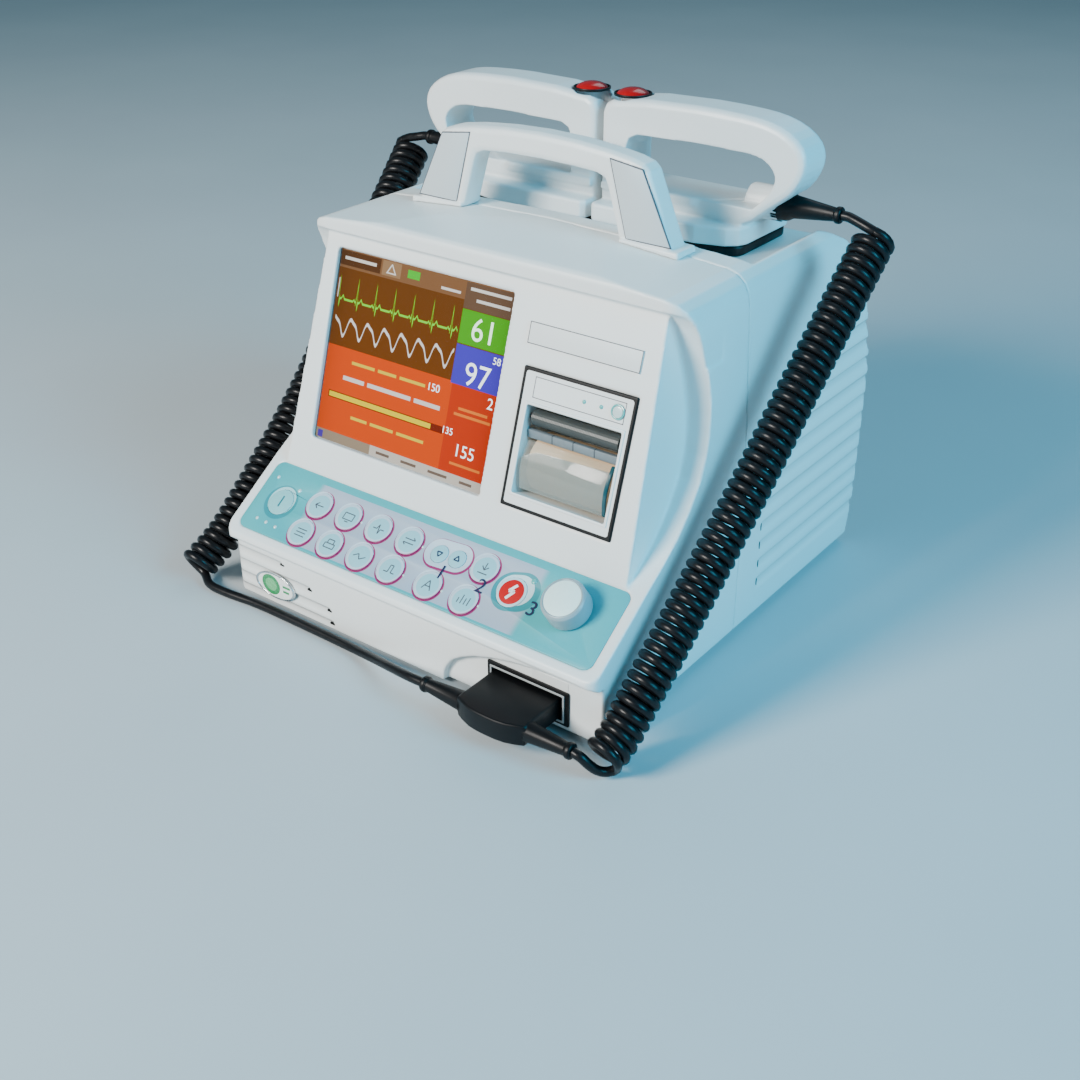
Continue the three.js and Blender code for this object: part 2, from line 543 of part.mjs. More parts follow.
// ---------- keys ----------
const KEY_PITCH = 25.8;
const KEY_ROW_BACK = 32.4;
const KEY_ROW_FRONT = 10.9;
const KEYS = [
  ['power_key', -120.3, 25, 9.4],
  ['back_key', -90.2, KEY_ROW_BACK, 9.6],
  ['monitor_key', -90.2 + KEY_PITCH, KEY_ROW_BACK, 9.6],
  ['lead_key', -90.2 + 2 * KEY_PITCH, KEY_ROW_BACK, 9.6],
  ['sync_key', -90.2 + 3 * KEY_PITCH, KEY_ROW_BACK, 9.6],
  ['energy_down_key', 11.8, 32.2, 6],
  ['energy_up_key', 25.2, 33.2, 6],
  ['charge_key', 46.2, 33.9, 9.6],
  ['options_key', -91, KEY_ROW_FRONT, 9.6],
  ['print_key', -91 + KEY_PITCH, KEY_ROW_FRONT, 9.6],
  ['trace_size_key', -91 + 2 * KEY_PITCH, KEY_ROW_FRONT, 9.6],
  ['pacer_key', -91 + 3 * KEY_PITCH, KEY_ROW_FRONT, 9.6],
  ['auto_mode_key', 16.9, KEY_ROW_FRONT, 9.6],
  ['analyse_key', 45, KEY_ROW_FRONT, 9.6],
  ['shock_key', 71, 26.6, 9.8],
];

function keyFoil() {
  const outline = roundedRect(-KEY_FOIL.halfWidth, KEY_FOIL.halfWidth, 0, KEY_FOIL.v1, KEY_FOIL.radius);
  for (const [, x, v, radius] of KEYS) {
    const hole = new THREE.Path();
    hole.absarc(x, v, radius + GAP, 0, 2 * Math.PI, true);
    outline.holes.push(hole);
  }
  const spindle = new THREE.Path();
  spindle.absarc(KNOB.x, KNOB.v, 4, 0, 2 * Math.PI, true);
  outline.holes.push(spindle);
  return sweepZ(outline, -1.3, 0, { curveSegments: 8 });
}

function key(radius) {
  const r = (out, up) => new THREE.Vector2(out, up);
  return new THREE.LatheGeometry([r(0, -0.8), r(radius, -0.8), r(radius, 0.2), r(radius - 1, 0.6), r(0, 0.7)], 20)
    .rotateX(Math.PI / 2);
}

function knobCap() {
  const r = (out, up) => new THREE.Vector2(out, up);
  const low = 1.6;
  const high = low + KNOB.height - 1;
  return new THREE.LatheGeometry([
    r(3.3, low), r(KNOB.radius, low), r(KNOB.radius - 0.3, high - 1.6), r(KNOB.radius - 1.7, high),
    r(11.6, high), r(11.4, high - 0.6), r(0, high - 0.6), r(0, high - 4), r(3.3, high - 4), r(3.3, low),
  ], 32).rotateX(Math.PI / 2);
}

// ---------- assembling the object ----------
const COLOURS = {
  shell: ['#e4e8e8', 0.42, 0], trim: ['#c9d2d2', 0.5, 0], foil: ['#a9d6d6', 0.35, 0], keys: ['#a8dedd', 0.4, 0],
  red: ['#c8141c', 0.3, 0], black: ['#141618', 0.5, 0], glass: ['#3a4648', 0.1, 0], metal: ['#b9bdc0', 0.3, 0.9],
  paper: ['#efe2cc', 0.9, 0], board: ['#1f5a3c', 0.6, 0], rubber: ['#101113', 0.7, 0], mint: ['#cfeeec', 0.35, 0],
};

const defibrillator = new THREE.Group();
const caseGroup = new THREE.Group();
caseGroup.position.y = -MIDDLE_Y;
defibrillator.add(caseGroup);

function addGroup(place) {
  const group = new THREE.Group();
  if (place) {
    group.position.copy(place.origin);
    group.rotation.x = place.slope;
  }
  caseGroup.add(group);
  return group;
}

function addPiece(group, name, form, colour) {
  const [color, roughness, metalness] = COLOURS[colour];
  const geometry = form instanceof THREE.BufferGeometry ? form : toGeometry(form);
  const mesh = new THREE.Mesh(geometry, new THREE.MeshStandardMaterial({ color, roughness, metalness }));
  mesh.name = name;
  group.add(mesh);
  return mesh;
}

const form = caseForm();
const cavity = caseCavity();
const body = addGroup();
addPiece(body, 'front_case', frontCase(form, cavity), 'shell');
addPiece(body, 'rear_case', rearCase(form, cavity), 'shell');
addPiece(body, 'carry_handle', carryHandle(form), 'shell');
addPiece(body, 'handle_panel_right', legPanel(1), 'trim');
addPiece(body, 'handle_panel_left', legPanel(-1), 'trim');

const desk = addGroup({ origin: DESK_ORIGIN, slope: DESK_SLOPE });
addPiece(desk, 'keypad_foil', keyFoil(), 'foil');
for (const [name, x, v, radius] of KEYS) {
  const colour = name === 'shock_key' ? 'red' : 'keys';
  addPiece(desk, name, key(radius), colour).position.set(x, v, 0);
}
addPiece(desk, 'knob_spindle', cylinder(3, 0, 0, -14, 9.5, 16), 'metal').position.set(KNOB.x, KNOB.v, 0);
addPiece(desk, 'knob', knobCap(), 'mint').position.set(KNOB.x, KNOB.v, 0);

const face = addGroup({ origin: FACE_ORIGIN, slope: FACE_SLOPE });
addPiece(face, 'screen_window',
  sweepZ(roundedRect(SCREEN.x0, SCREEN.x1, SCREEN.v0, SCREEN.v1, 1.7), -2.4, -0.5), 'glass');
addPiece(face, 'lcd_module', box(SCREEN.x0 - 4, SCREEN.x1 + 4, SCREEN.v0 - 4, SCREEN.v1 + 3, -13, -3.6), 'metal');
addPiece(face, 'nameplate', sweepZ(roundedRect(39.5, 117.6, 121.2, 134.3, 1), GAP, 1), 'trim');
addPiece(face, 'printer_frame', printerFrame(), 'shell');
addPiece(face, 'printer_door', printerDoor(), 'glass');
addPiece(face, 'platen_roller', platenRoller(), 'rubber');
addPiece(face, 'paper_roll', paperRoll(), 'paper');
addPiece(face, 'feed_button', cylinder(FEED.radius, FEED.x, FEED.v, -0.2, 1.6, 20), 'trim');

const badgeOutline = new THREE.Shape();
badgeOutline.absellipse(-110, 18.6, 18, 9.5, 0, 2 * Math.PI);
addPiece(body, 'badge', sweepY(badgeOutline, FRONT_Y - 1.5, FRONT_Y - GAP, { curveSegments: 14 }), 'trim');
addPiece(body, 'paddle_socket', paddleSocket(), 'black');
addPiece(body, 'paddle_plug', plugBody(), 'black');

for (const [hand, side] of [['right', 1], ['left', -1]]) {
  addPiece(body, `${hand}_paddle_shell`, paddleShell(side), 'shell');
  addPiece(body, `${hand}_electrode_carrier`, electrodeCarrier(side), 'black');
  addPiece(body, `${hand}_electrode`, electrodePlate(side), 'metal');
  addPiece(body, `${hand}_shock_button`, dischargeButton(), 'red').position.set(side * BUTTON.x, BUTTON.y, 0);
  const boot = bootProfile(BOOT.x1 - BOOT.x0, true, 7, 4.1);
  if (side < 0) boot.rotateZ(Math.PI);
  addPiece(body, `${hand}_cable_boot`, boot, 'rubber').position.set(side * BOOT.x0, BOOT.y, BOOT.z);
}

addPiece(body, 'right_cord_curl', tube(RIGHT_CURL, CURL_RADIUS, 12, 22), 'rubber');
addPiece(body, 'left_cord_curl', tube(LEFT_CURL, CURL_RADIUS, 12, 22), 'rubber');
addPiece(body, 'right_cord_top_lead', tube(RIGHT_TOP_LEAD, CORD_RADIUS, 8, 2), 'rubber');
addPiece(body, 'left_cord_top_lead', tube(LEFT_TOP_LEAD, CORD_RADIUS, 8, 2), 'rubber');
addPiece(body, 'right_cord_plug_lead', tube(RIGHT_PLUG_LEAD, CORD_RADIUS, 8, 5), 'rubber');
addPiece(body, 'left_cord_plug_lead', tube(LEFT_PLUG_LEAD, CORD_RADIUS, 8, 22), 'rubber');

for (const [place, x, y] of [['front_right', 118, 30], ['front_left', -118, 30], ['rear_right', 118, 280],
  ['rear_left', -118, 280]]) {
  addPiece(body, `foot_${place}`, cylinder(9, 0, 0, 0, CASE_BOTTOM - GAP, 20), 'rubber').position.set(x, y, 0);
}

// ---------- inside the case ----------
addPiece(body, 'main_board', box(-120, 120, 124, 125.6, 16, 205), 'board');
addPiece(body, 'shock_capacitor', cylinderX(27, -128, -18, 205, 120, 24), 'metal');
addPiece(body, 'battery_pack', box(12, 132, 190, 285, 9, 74), 'black');
addPiece(body, 'power_supply', box(-132, -12, 175, 272, 9, 60), 'metal');

function mainsInlet() {
  const { x0, x1, z0, z1, faceY } = INLET;
  const flange = toSolid(sweepY(roundedRect(x0, x1, z0, z1, 2), faceY + GAP, faceY + 2.3));
  const tub = toSolid(box(x0 + 11, x1 - 11, faceY - 22, faceY + 1, z0 + 5.4, z1 - 5.4));
  const mouth = toSolid(box(x0 + 13, x1 - 13, faceY - 19, faceY + 5, z0 + 7.5, z1 - 7.5));
  return flange.add(tub).subtract(mouth);
}
addPiece(body, 'mains_inlet', mainsInlet(), 'black');

function patientSockets() {
  const { y0, y1, z0, z1 } = PATIENT_PLATE;
  const x = -HALF_WIDTH;
  const plate = toSolid(sweepX(roundedRect(y0, y1, z0, z1, 3), x - 1.8, x - GAP));
  const block = toSolid(box(x - 1, x + 14, y0 + 4, y1 - 4, z0 + 4, z1 - 4));
  const holes = [y0 + 18, y1 - 18].map((y) => toSolid(cylinderX(7.5, x - 5, x + 11, y, (z0 + z1) / 2, 20)));
  return holes.reduce((left, hole) => left.subtract(hole), plate.add(block));
}
addPiece(body, 'patient_sockets', patientSockets(), 'trim');

export default defibrillator;
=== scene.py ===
"""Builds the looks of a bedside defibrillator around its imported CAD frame."""

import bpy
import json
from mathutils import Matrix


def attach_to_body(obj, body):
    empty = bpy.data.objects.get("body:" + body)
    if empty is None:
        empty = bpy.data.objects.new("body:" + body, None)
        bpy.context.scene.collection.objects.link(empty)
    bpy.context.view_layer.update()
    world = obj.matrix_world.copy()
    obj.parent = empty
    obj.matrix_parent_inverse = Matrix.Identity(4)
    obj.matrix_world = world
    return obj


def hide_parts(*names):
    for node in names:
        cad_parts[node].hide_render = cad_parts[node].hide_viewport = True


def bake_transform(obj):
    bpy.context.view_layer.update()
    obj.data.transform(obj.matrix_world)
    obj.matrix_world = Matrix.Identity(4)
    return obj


bl_info = {
    "name": "Defibrillator",
    "version": (1, 0, 0),
    "blender": (4, 5, 0),
    "location": "3D View > Sidebar > Defibrillator",
    "description": "Dresses a bedside defibrillator: case, keys, screen, printer, paddles and cords",
    "category": "Object",
}

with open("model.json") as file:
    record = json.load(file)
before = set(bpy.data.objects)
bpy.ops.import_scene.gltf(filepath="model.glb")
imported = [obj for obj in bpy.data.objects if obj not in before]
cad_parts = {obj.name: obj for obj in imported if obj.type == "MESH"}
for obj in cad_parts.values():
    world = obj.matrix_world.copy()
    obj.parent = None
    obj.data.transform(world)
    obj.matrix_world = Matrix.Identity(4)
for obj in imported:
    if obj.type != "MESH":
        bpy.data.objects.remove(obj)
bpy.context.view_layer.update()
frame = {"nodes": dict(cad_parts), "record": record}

import json
import math

import bmesh
import bpy
from mathutils import Euler, Matrix, Vector

MM = 0.001
MIDDLE_Y = 154.5                      # the case's own y of the row frame's origin, in mm
DESK_SLOPE = math.radians(34.3)       # key panel, from horizontal
FACE_SLOPE = math.radians(72.4)       # screen panel, from horizontal
DESK_ORIGIN = Vector((0, -4.5, 55))   # front edge of the key foil
FACE_ORIGIN = Vector((0, 38.75, 84.5))  # foot of the screen panel

# key name, x and v on the key panel, radius of the disc
KEYS = [
    ("power_key", -120.3, 25, 9.4),
    ("back_key", -90.2, 32.4, 9.6),
    ("monitor_key", -64.4, 32.4, 9.6),
    ("lead_key", -38.6, 32.4, 9.6),
    ("sync_key", -12.8, 32.4, 9.6),
    ("energy_down_key", 11.8, 32.2, 6),
    ("energy_up_key", 25.2, 33.2, 6),
    ("charge_key", 46.2, 33.9, 9.6),
    ("options_key", -91, 10.9, 9.6),
    ("print_key", -65.2, 10.9, 9.6),
    ("trace_size_key", -39.4, 10.9, 9.6),
    ("pacer_key", -13.6, 10.9, 9.6),
    ("auto_mode_key", 16.9, 10.9, 9.6),
    ("analyse_key", 45, 10.9, 9.6),
    ("shock_key", 71, 26.6, 9.8),
]
KNOB = (111.5, 29.9)
SCREEN = (-117.3, 23.7, 23.3, 147.3)        # x0, x1, v0, v1 on the screen panel
PRINTER = (42.0, 119.0, 25.2, 107.2)
PRINTER_BAY = (47.5, 114.5, 33.0, 87.0)

FRONT_RIBS = ((38.0, -103.0), (28.0, -78.0), (18.5, -61.0), (9.5, -58.5))   # ledge height, right end
FRONT_VENTS = ((-102.6, 36.4), (-78.5, 26.2), (-61.6, 16.8), (-60.0, 7.6))   # x, z of the slots in the ribs

RIGHT_CURL = [(180, 227, 250), (178, 193, 217), (175, 153, 176), (173, 115, 138), (170, 80, 102),
              (168, 45, 69), (166, 13, 40), (164.5, -4, 23.5), (163, -19, 14.5)]
LEFT_CURL = [(-180, 227, 250), (-174, 197, 225), (-170, 165, 196), (-167, 130, 156), (-166, 95, 116),
             (-166, 62, 84), (-168, 33, 56), (-172, 8, 31), (-177, -15, 14.5)]


# ---------- places ----------
def case_point(x, y, z):
    """A point given in the case's own millimetres, in the row frame."""
    return Vector((x, y - MIDDLE_Y, z)) * MM


def panel_matrix(slope, origin):
    """Turns a panel's own x, v, n, in mm, into the row frame, in metres."""
    place = Matrix.Translation(case_point(*origin))
    return place @ Matrix.Rotation(slope, 4, "X") @ Matrix.Scale(MM, 4)


CASE = Matrix.Translation(case_point(0, 0, 0)) @ Matrix.Scale(MM, 4)
DESK = panel_matrix(DESK_SLOPE, DESK_ORIGIN)
FACE = panel_matrix(FACE_SLOPE, FACE_ORIGIN)


# ---------- shader maths ----------
NOISE_ROUGHNESS = 0.55


class Value:
    """A number or vector in a material; sums on it add Math nodes."""

    def __init__(self, finish, socket):
        self.finish = finish
        self.socket = socket

    def maths(self, operation, *numbers):
        return self.finish.node("ShaderNodeMath", {"operation": operation}, numbers)

    def __add__(self, other):
        return self.maths("ADD", self, other)

    def __sub__(self, other):
        return self.maths("SUBTRACT", self, other)

    def __rsub__(self, other):
        return self.maths("SUBTRACT", other, self)

    def __mul__(self, other):
        return self.maths("MULTIPLY", self, other)

    def __truediv__(self, other):
        return self.maths("DIVIDE", self, other)

    def __gt__(self, other):
        return self.maths("GREATER_THAN", self, other)

    def __lt__(self, other):
        return self.maths("LESS_THAN", self, other)

    def __abs__(self):
        return self.maths("ABSOLUTE", self)

    __radd__ = __add__
    __rmul__ = __mul__

    def either(self, other):
        return self.maths("MAXIMUM", self, other)

    def least(self, other):
        return self.maths("MINIMUM", self, other)

    def sine(self):
        return self.maths("SINE", self)

    def wrap(self, length):
        return self.maths("FLOORED_MODULO", self, length)


class Finish:
    """One material, built node by node."""

    def __init__(self, name):
        self.material = bpy.data.materials.new(name)
        self.material.use_nodes = True
        self.tree = self.material.node_tree
        self.shader = self.tree.nodes["Principled BSDF"]

    def node(self, kind, settings, values, output=0):
        made = self.tree.nodes.new(kind)
        for name, setting in settings.items():
            setattr(made, name, setting)
        pairs = values.items() if isinstance(values, dict) else enumerate(values)
        for key, value in pairs:
            if isinstance(value, Value):
                self.tree.links.new(value.socket, made.inputs[key])
            else:
                made.inputs[key].default_value = value
        return Value(self, made.outputs[output])

    def place(self, matrix=None):
        """Object coordinates in mm: of the row frame, or of a panel."""
        where = self.node("ShaderNodeTexCoord", {}, {}, "Object")
        slope = 0.0 if matrix is None else matrix.to_euler().x
        origin = (0.0, 0.0, 0.0) if matrix is None else tuple(matrix.translation)
        return self.node("ShaderNodeMapping", {"vector_type": "TEXTURE"}, {
            "Vector": where, "Location": origin, "Rotation": (slope, 0.0, 0.0), "Scale": (MM, MM, MM)})

    def split(self, vector):
        made = self.tree.nodes.new("ShaderNodeSeparateXYZ")
        self.tree.links.new(vector.socket, made.inputs[0])
        return [Value(self, output) for output in made.outputs]

    def noise(self, vector, scale, detail=3.0):
        return self.node("ShaderNodeTexNoise", {}, {
            "Vector": vector, "Scale": scale, "Detail": detail, "Roughness": NOISE_ROUGHNESS})

    def distance(self, vector, x, y):
        flat = self.node("ShaderNodeVectorMath", {"operation": "MULTIPLY"}, {0: vector, 1: (1.0, 1.0, 0.0)})
        ends = {0: flat, 1: (x, y, 0.0)}
        return self.node("ShaderNodeVectorMath", {"operation": "DISTANCE"}, ends, "Value")

    def mix(self, factor, first, second):
        """first where factor is 0, second where it is 1; each a colour or a link."""
        def full(colour):
            return colour if isinstance(colour, Value) else (*colour[:3], 1.0)
        made = self.tree.nodes.new("ShaderNodeMix")
        made.data_type = "RGBA"
        for key, value in ((0, factor), (6, full(first)), (7, full(second))):
            if isinstance(value, Value):
                self.tree.links.new(value.socket, made.inputs[key])
            else:
                made.inputs[key].default_value = value
        return Value(self, made.outputs[2])

    def bump(self, height, depth_mm, strength=1.0):
        return self.node("ShaderNodeBump", {}, {
            "Height": height, "Distance": depth_mm * MM, "Strength": strength})

    def done(self, **sockets):
        for key, value in sockets.items():
            socket = self.shader.inputs[key.replace("_", " ")]
            if isinstance(value, Value):
                self.tree.links.new(value.socket, socket)
            elif isinstance(value, tuple) and len(value) == 3:
                socket.default_value = (*value, 1.0)
            else:
                socket.default_value = value
        return self.material


# ---------- materials ----------
MATERIALS = {}


def material(make):
    """Each finish is made once and shared."""
    if make.__name__ not in MATERIALS:
        MATERIALS[make.__name__] = make()
    return MATERIALS[make.__name__]


def moulded(name, colour, roughness, grain=0.03, spread=0.04, shine=0.5, shade=None):
    """Injection-moulded plastic: fine grain, faint flow marks, uneven sheen, and painted shade that darkens
    it where shade is 1.
    """
    finish = Finish(name)
    place = finish.place()
    flow = finish.noise(place, 0.012, 2.0)
    wear = finish.noise(place, 0.11, 5.0)
    texture = finish.noise(place, 3.2, 2.0)
    darker = tuple(channel * (1 - spread) for channel in colour)
    tone = finish.mix(flow, darker, tuple(min(1.0, channel * (1 + spread * 0.6)) for channel in colour))
    # painted shade: where the shade mask is 1 the colour is darkened to 40 percent
    if shade:
        tone = finish.mix(shade(finish) * 0.6, tone, tuple(channel * 0.4 for channel in colour))
    rough = roughness + (wear - 0.5) * 0.12 + (texture - 0.5) * 0.05
    return finish.done(Base_Color=tone, Roughness=rough, Normal=finish.bump(texture, grain, 0.6),
                       Specular_IOR_Level=shine)


def painted_shade_under_ledges(finish):
    """Painted shade under the ribs: 1 in the corner under each rib's ledge, fading to 0 down the wall."""
    x, y, z = finish.split(finish.place(CASE))
    shade = None
    for ledge, end in FRONT_RIBS:
        drop = (z * -1.0 + ledge) / 5.5
        here = (1.0 - drop).least(drop > -0.15).least(x < end).least(y < 3.0)
        shade = here if shade is None else shade.either(here)
    below = z * -1.0 + 168.6
    drop = (below / 13.6).wrap(1.0) * 2.0
    high = (z - 72.0).either(0.0)
    on_wall = (abs(x) > 144.5).least(y > high * high * 0.0042 + 175.0)
    side = (1.0 - drop).least(below > 0.0).least(z > 24.0).least(on_wall)
    return shade.either(side).either(0.0)


def case_plastic():
    # painted shade under the rib ledges darkens the case colour
    return moulded("case_plastic", tuple(settings().case_colour), 0.38, 0.02, 0.03, shade=painted_shade_under_ledges)


def paddle_plastic():
    return moulded("paddle_plastic", (0.72, 0.77, 0.78), 0.34, 0.015, 0.03)


def trim_plastic():
    return moulded("trim_plastic", (0.50, 0.57, 0.60), 0.42, 0.02)


def black_plastic():
    return moulded("black_plastic", (0.006, 0.0065, 0.007), 0.42, 0.05, 0.2, 0.22)


def socket_liner():
    return moulded("socket_liner", (0.33, 0.36, 0.37), 0.45, 0.02)


def label_plastic():
    return moulded("label_plastic", (0.70, 0.74, 0.74), 0.4, 0.01)


def cord_rubber():
    """Glossy black cord jacket with faint dust and mould lines."""
    finish = Finish("cord_rubber")
    place = finish.place()
    dust = finish.noise(place, 0.35, 4.0)
    skin = finish.noise(place, 5.0, 2.0)
    tone = finish.mix(dust, (0.003, 0.003, 0.0035), (0.010, 0.0105, 0.012))
    return finish.done(Base_Color=tone, Roughness=0.24 + dust * 0.16,
                       Normal=finish.bump(skin, 0.02, 0.4), Specular_IOR_Level=0.22)


def boot_rubber():
    return moulded("boot_rubber", (0.004, 0.0042, 0.005), 0.40, 0.04, 0.25, 0.22)


def foot_rubber():
    return moulded("foot_rubber", (0.02, 0.02, 0.021), 0.7, 0.08, 0.2)


def red_plastic():
    finish = Finish("red_plastic")
    place = finish.place()
    wear = finish.noise(place, 0.5, 4.0)
    tone = finish.mix(wear, (0.36, 0.001, 0.002), (0.46, 0.002, 0.004))
    return finish.done(Base_Color=tone, Roughness=0.16 + wear * 0.14, Coat_Weight=0.4)


def chrome():
    finish = Finish("chrome")
    smear = finish.noise(finish.place(), 0.4, 3.0)
    return finish.done(Base_Color=(0.72, 0.75, 0.77), Metallic=1.0, Roughness=0.09 + smear * 0.14)


def steel_sheet():
    """Brushed sheet metal with fine lines along X."""
    finish = Finish("steel_sheet")
    place = finish.place()
    lines = finish.node("ShaderNodeMapping", {}, {"Vector": place, "Scale": (0.05, 2.5, 2.5)})
    grain = finish.noise(lines, 1.0, 4.0)
    tone = finish.mix(grain, (0.46, 0.48, 0.49), (0.62, 0.64, 0.65))
    return finish.done(Base_Color=tone, Metallic=0.9, Roughness=0.28 + grain * 0.2)


def green_board():
    """Circuit board: solder mask, tracks and pads."""
    finish = Finish("green_board")
    place = finish.place()
    x, _, z = finish.split(place)
    tracks = ((x + z * 0.5).wrap(5.0) < 0.6).either(z.wrap(7.0) < 0.5)
    speckle = finish.noise(place, 0.8, 3.0)
    mask = finish.mix(speckle, (0.012, 0.11, 0.05), (0.02, 0.16, 0.075))
    tone = finish.mix(tracks * 0.55, mask, (0.05, 0.30, 0.14))
    return finish.done(Base_Color=tone, Roughness=0.32 + speckle * 0.15, Normal=finish.bump(tracks, 0.05))


def battery_wrap():
    return moulded("battery_wrap", (0.03, 0.05, 0.10), 0.4, 0.02, 0.2)


def clear_window():
    """Screen window: a thin clear sheet with faint smears in its gloss."""
    finish = Finish("clear_window")
    smear = finish.noise(finish.place(), 0.05, 4.0)
    return finish.done(Base_Color=(0.02, 0.025, 0.025), Roughness=0.03 + smear * 0.03, Alpha=0.03)


def smoked_window():
    """Printer door: grey tinted acrylic, clearer above a curved line, with a dark teal end."""
    finish = Finish("smoked_window")
    place = finish.place(FACE)
    x, v, _ = finish.split(place)
    smear = finish.noise(place, 0.09, 4.0)
    fall = (62.0 - x).either(0.0) / 14.0
    tinted = v < (x * 0.0375 + 58.0 - fall * fall * 6.0)
    end = x > 109.8
    tone = finish.mix(end, (0.30, 0.34, 0.32), (0.012, 0.075, 0.095))
    cover = (tinted * 0.42 + 0.10).either(end * 0.95)
    return finish.done(Base_Color=tone, Roughness=0.06 + smear * 0.1, Alpha=cover)


def chart_paper():
    """Coated paper, warm white, with a faint fibre and roller wave."""
    finish = Finish("chart_paper")
    place = finish.place()
    fibre = finish.noise(place, 1.6, 5.0)
    wave = finish.noise(place, 0.05, 2.0)
    tone = finish.mix(wave, (0.66, 0.46, 0.27), (0.74, 0.55, 0.35))
    return finish.done(Base_Color=tone, Roughness=0.5 + fibre * 0.25, Normal=finish.bump(fibre, 0.03))


def roller_metal():
    """Grey-green roller with fine turning lines round it."""
    finish = Finish("roller_metal")
    place = finish.place()
    x, _, _ = finish.split(place)
    lines = (x * 6.0).sine() * 0.5 + 0.5
    wear = finish.noise(place, 0.3, 3.0)
    tone = finish.mix(lines * 0.3 + wear * 0.4, (0.028, 0.034, 0.034), (0.085, 0.095, 0.09))
    return finish.done(Base_Color=tone, Metallic=0.2, Roughness=0.3 + wear * 0.2,
                       Normal=finish.bump(lines, 0.05, 0.5))


def tear_bar_metal():
    """Blue-grey bar with three thin divisions."""
    finish = Finish("tear_bar_metal")
    place = finish.place(FACE)
    x, _, _ = finish.split(place)
    wear = finish.noise(place, 0.3, 3.0)
    division = x * 0.0
    for at in (66.0, 81.0, 96.0):
        division = division.either(abs(x - at) < 0.35)
    tone = finish.mix(wear, (0.17, 0.21, 0.235), (0.23, 0.275, 0.30))
    tone = finish.mix(division, tone, (0.03, 0.04, 0.05))
    return finish.done(Base_Color=tone, Metallic=0.3, Roughness=0.3 + wear * 0.15)


def knob_plastic():
    return moulded("knob_plastic", (0.26, 0.36, 0.40), 0.34, 0.02)


def knob_face():
    """Pale mint disc set in the knob, with its grey rim."""
    finish = Finish("knob_face")
    place = finish.place(DESK)
    radius = finish.distance(place, *KNOB)
    wear = finish.noise(place, 0.4, 4.0)
    pale = finish.mix(wear, (0.62, 0.86, 0.84), (0.72, 0.92, 0.90))
    tone = finish.mix(radius > 11.4, pale, (0.22, 0.30, 0.33))
    return finish.done(Base_Color=tone, Roughness=0.3 + wear * 0.12)


def badge_face():
    """White oval plate with a green disc, paler in its middle as a painted highlight, and two short green
    bars.
    """
    finish = Finish("badge_face")
    place = finish.place(CASE)
    x, _, z = finish.split(place)
    wear = finish.noise(place, 0.5, 4.0)
    stretched = finish.node("ShaderNodeCombineXYZ", {}, {0: x, 1: (z - 18.6) * 1.12, 2: 0.0})
    dot = finish.distance(stretched, -114.0, 0.0) < 8.3
    bars = (abs(z - 20.6) < 0.9).least(abs(x + 99.6) < 3.4)
    bars = bars.either((abs(z - 16.9) < 0.9).least(abs(x + 100.2) < 2.8))
    # painted highlight: a paler green spot in the middle of the disc
    painted_highlight = finish.distance(stretched, -114.0, 0.0) < 5.2
    tone = finish.mix(wear, (0.78, 0.82, 0.80), (0.86, 0.90, 0.88))
    tone = finish.mix(dot.either(bars), tone, (0.015, 0.24, 0.07))
    tone = finish.mix(painted_highlight * 0.55, tone, (0.20, 0.62, 0.28))
    return finish.done(Base_Color=tone, Roughness=0.22 + wear * 0.1, Coat_Weight=0.5)


def lamp(name, colour):
    finish = Finish(name)
    depth = finish.noise(finish.place(), 1.5, 2.0)
    tone = finish.mix(depth, tuple(channel * 0.75 for channel in colour), colour)
    return finish.done(Base_Color=tone, Roughness=0.18 + depth * 0.1, Coat_Weight=0.6)


def pale_lamp():
    return lamp("pale_lamp", (0.62, 0.78, 0.78))


def teal_lamp():
    return lamp("teal_lamp", (0.10, 0.48, 0.46))


def ink(name, dark, light, roughness=0.4):
    """Printing ink, a little uneven between its two tones."""
    finish = Finish(name)
    wear = finish.noise(finish.place(), 2.0, 4.0)
    return finish.done(Base_Color=finish.mix(wear, dark, light), Roughness=roughness + wear * 0.1)


def navy_print():
    return ink("navy_print", (0.003, 0.006, 0.040), (0.006, 0.012, 0.065))


def white_print():
    return ink("white_print", (0.80, 0.82, 0.82), (0.88, 0.9, 0.9))


def grey_print():
    return ink("grey_print", (0.045, 0.05, 0.07), (0.075, 0.08, 0.10), 0.45)


MINT = (0.05, 0.40, 0.44)
MAUVE = (0.34, 0.42, 0.52)
KEY_CENTRE = (0.26, 0.56, 0.64)
KEY_EDGE = (0.46, 0.58, 0.68)
RING_MAGENTA = (0.28, 0.025, 0.12)
RING_TEAL = (0.02, 0.25, 0.29)


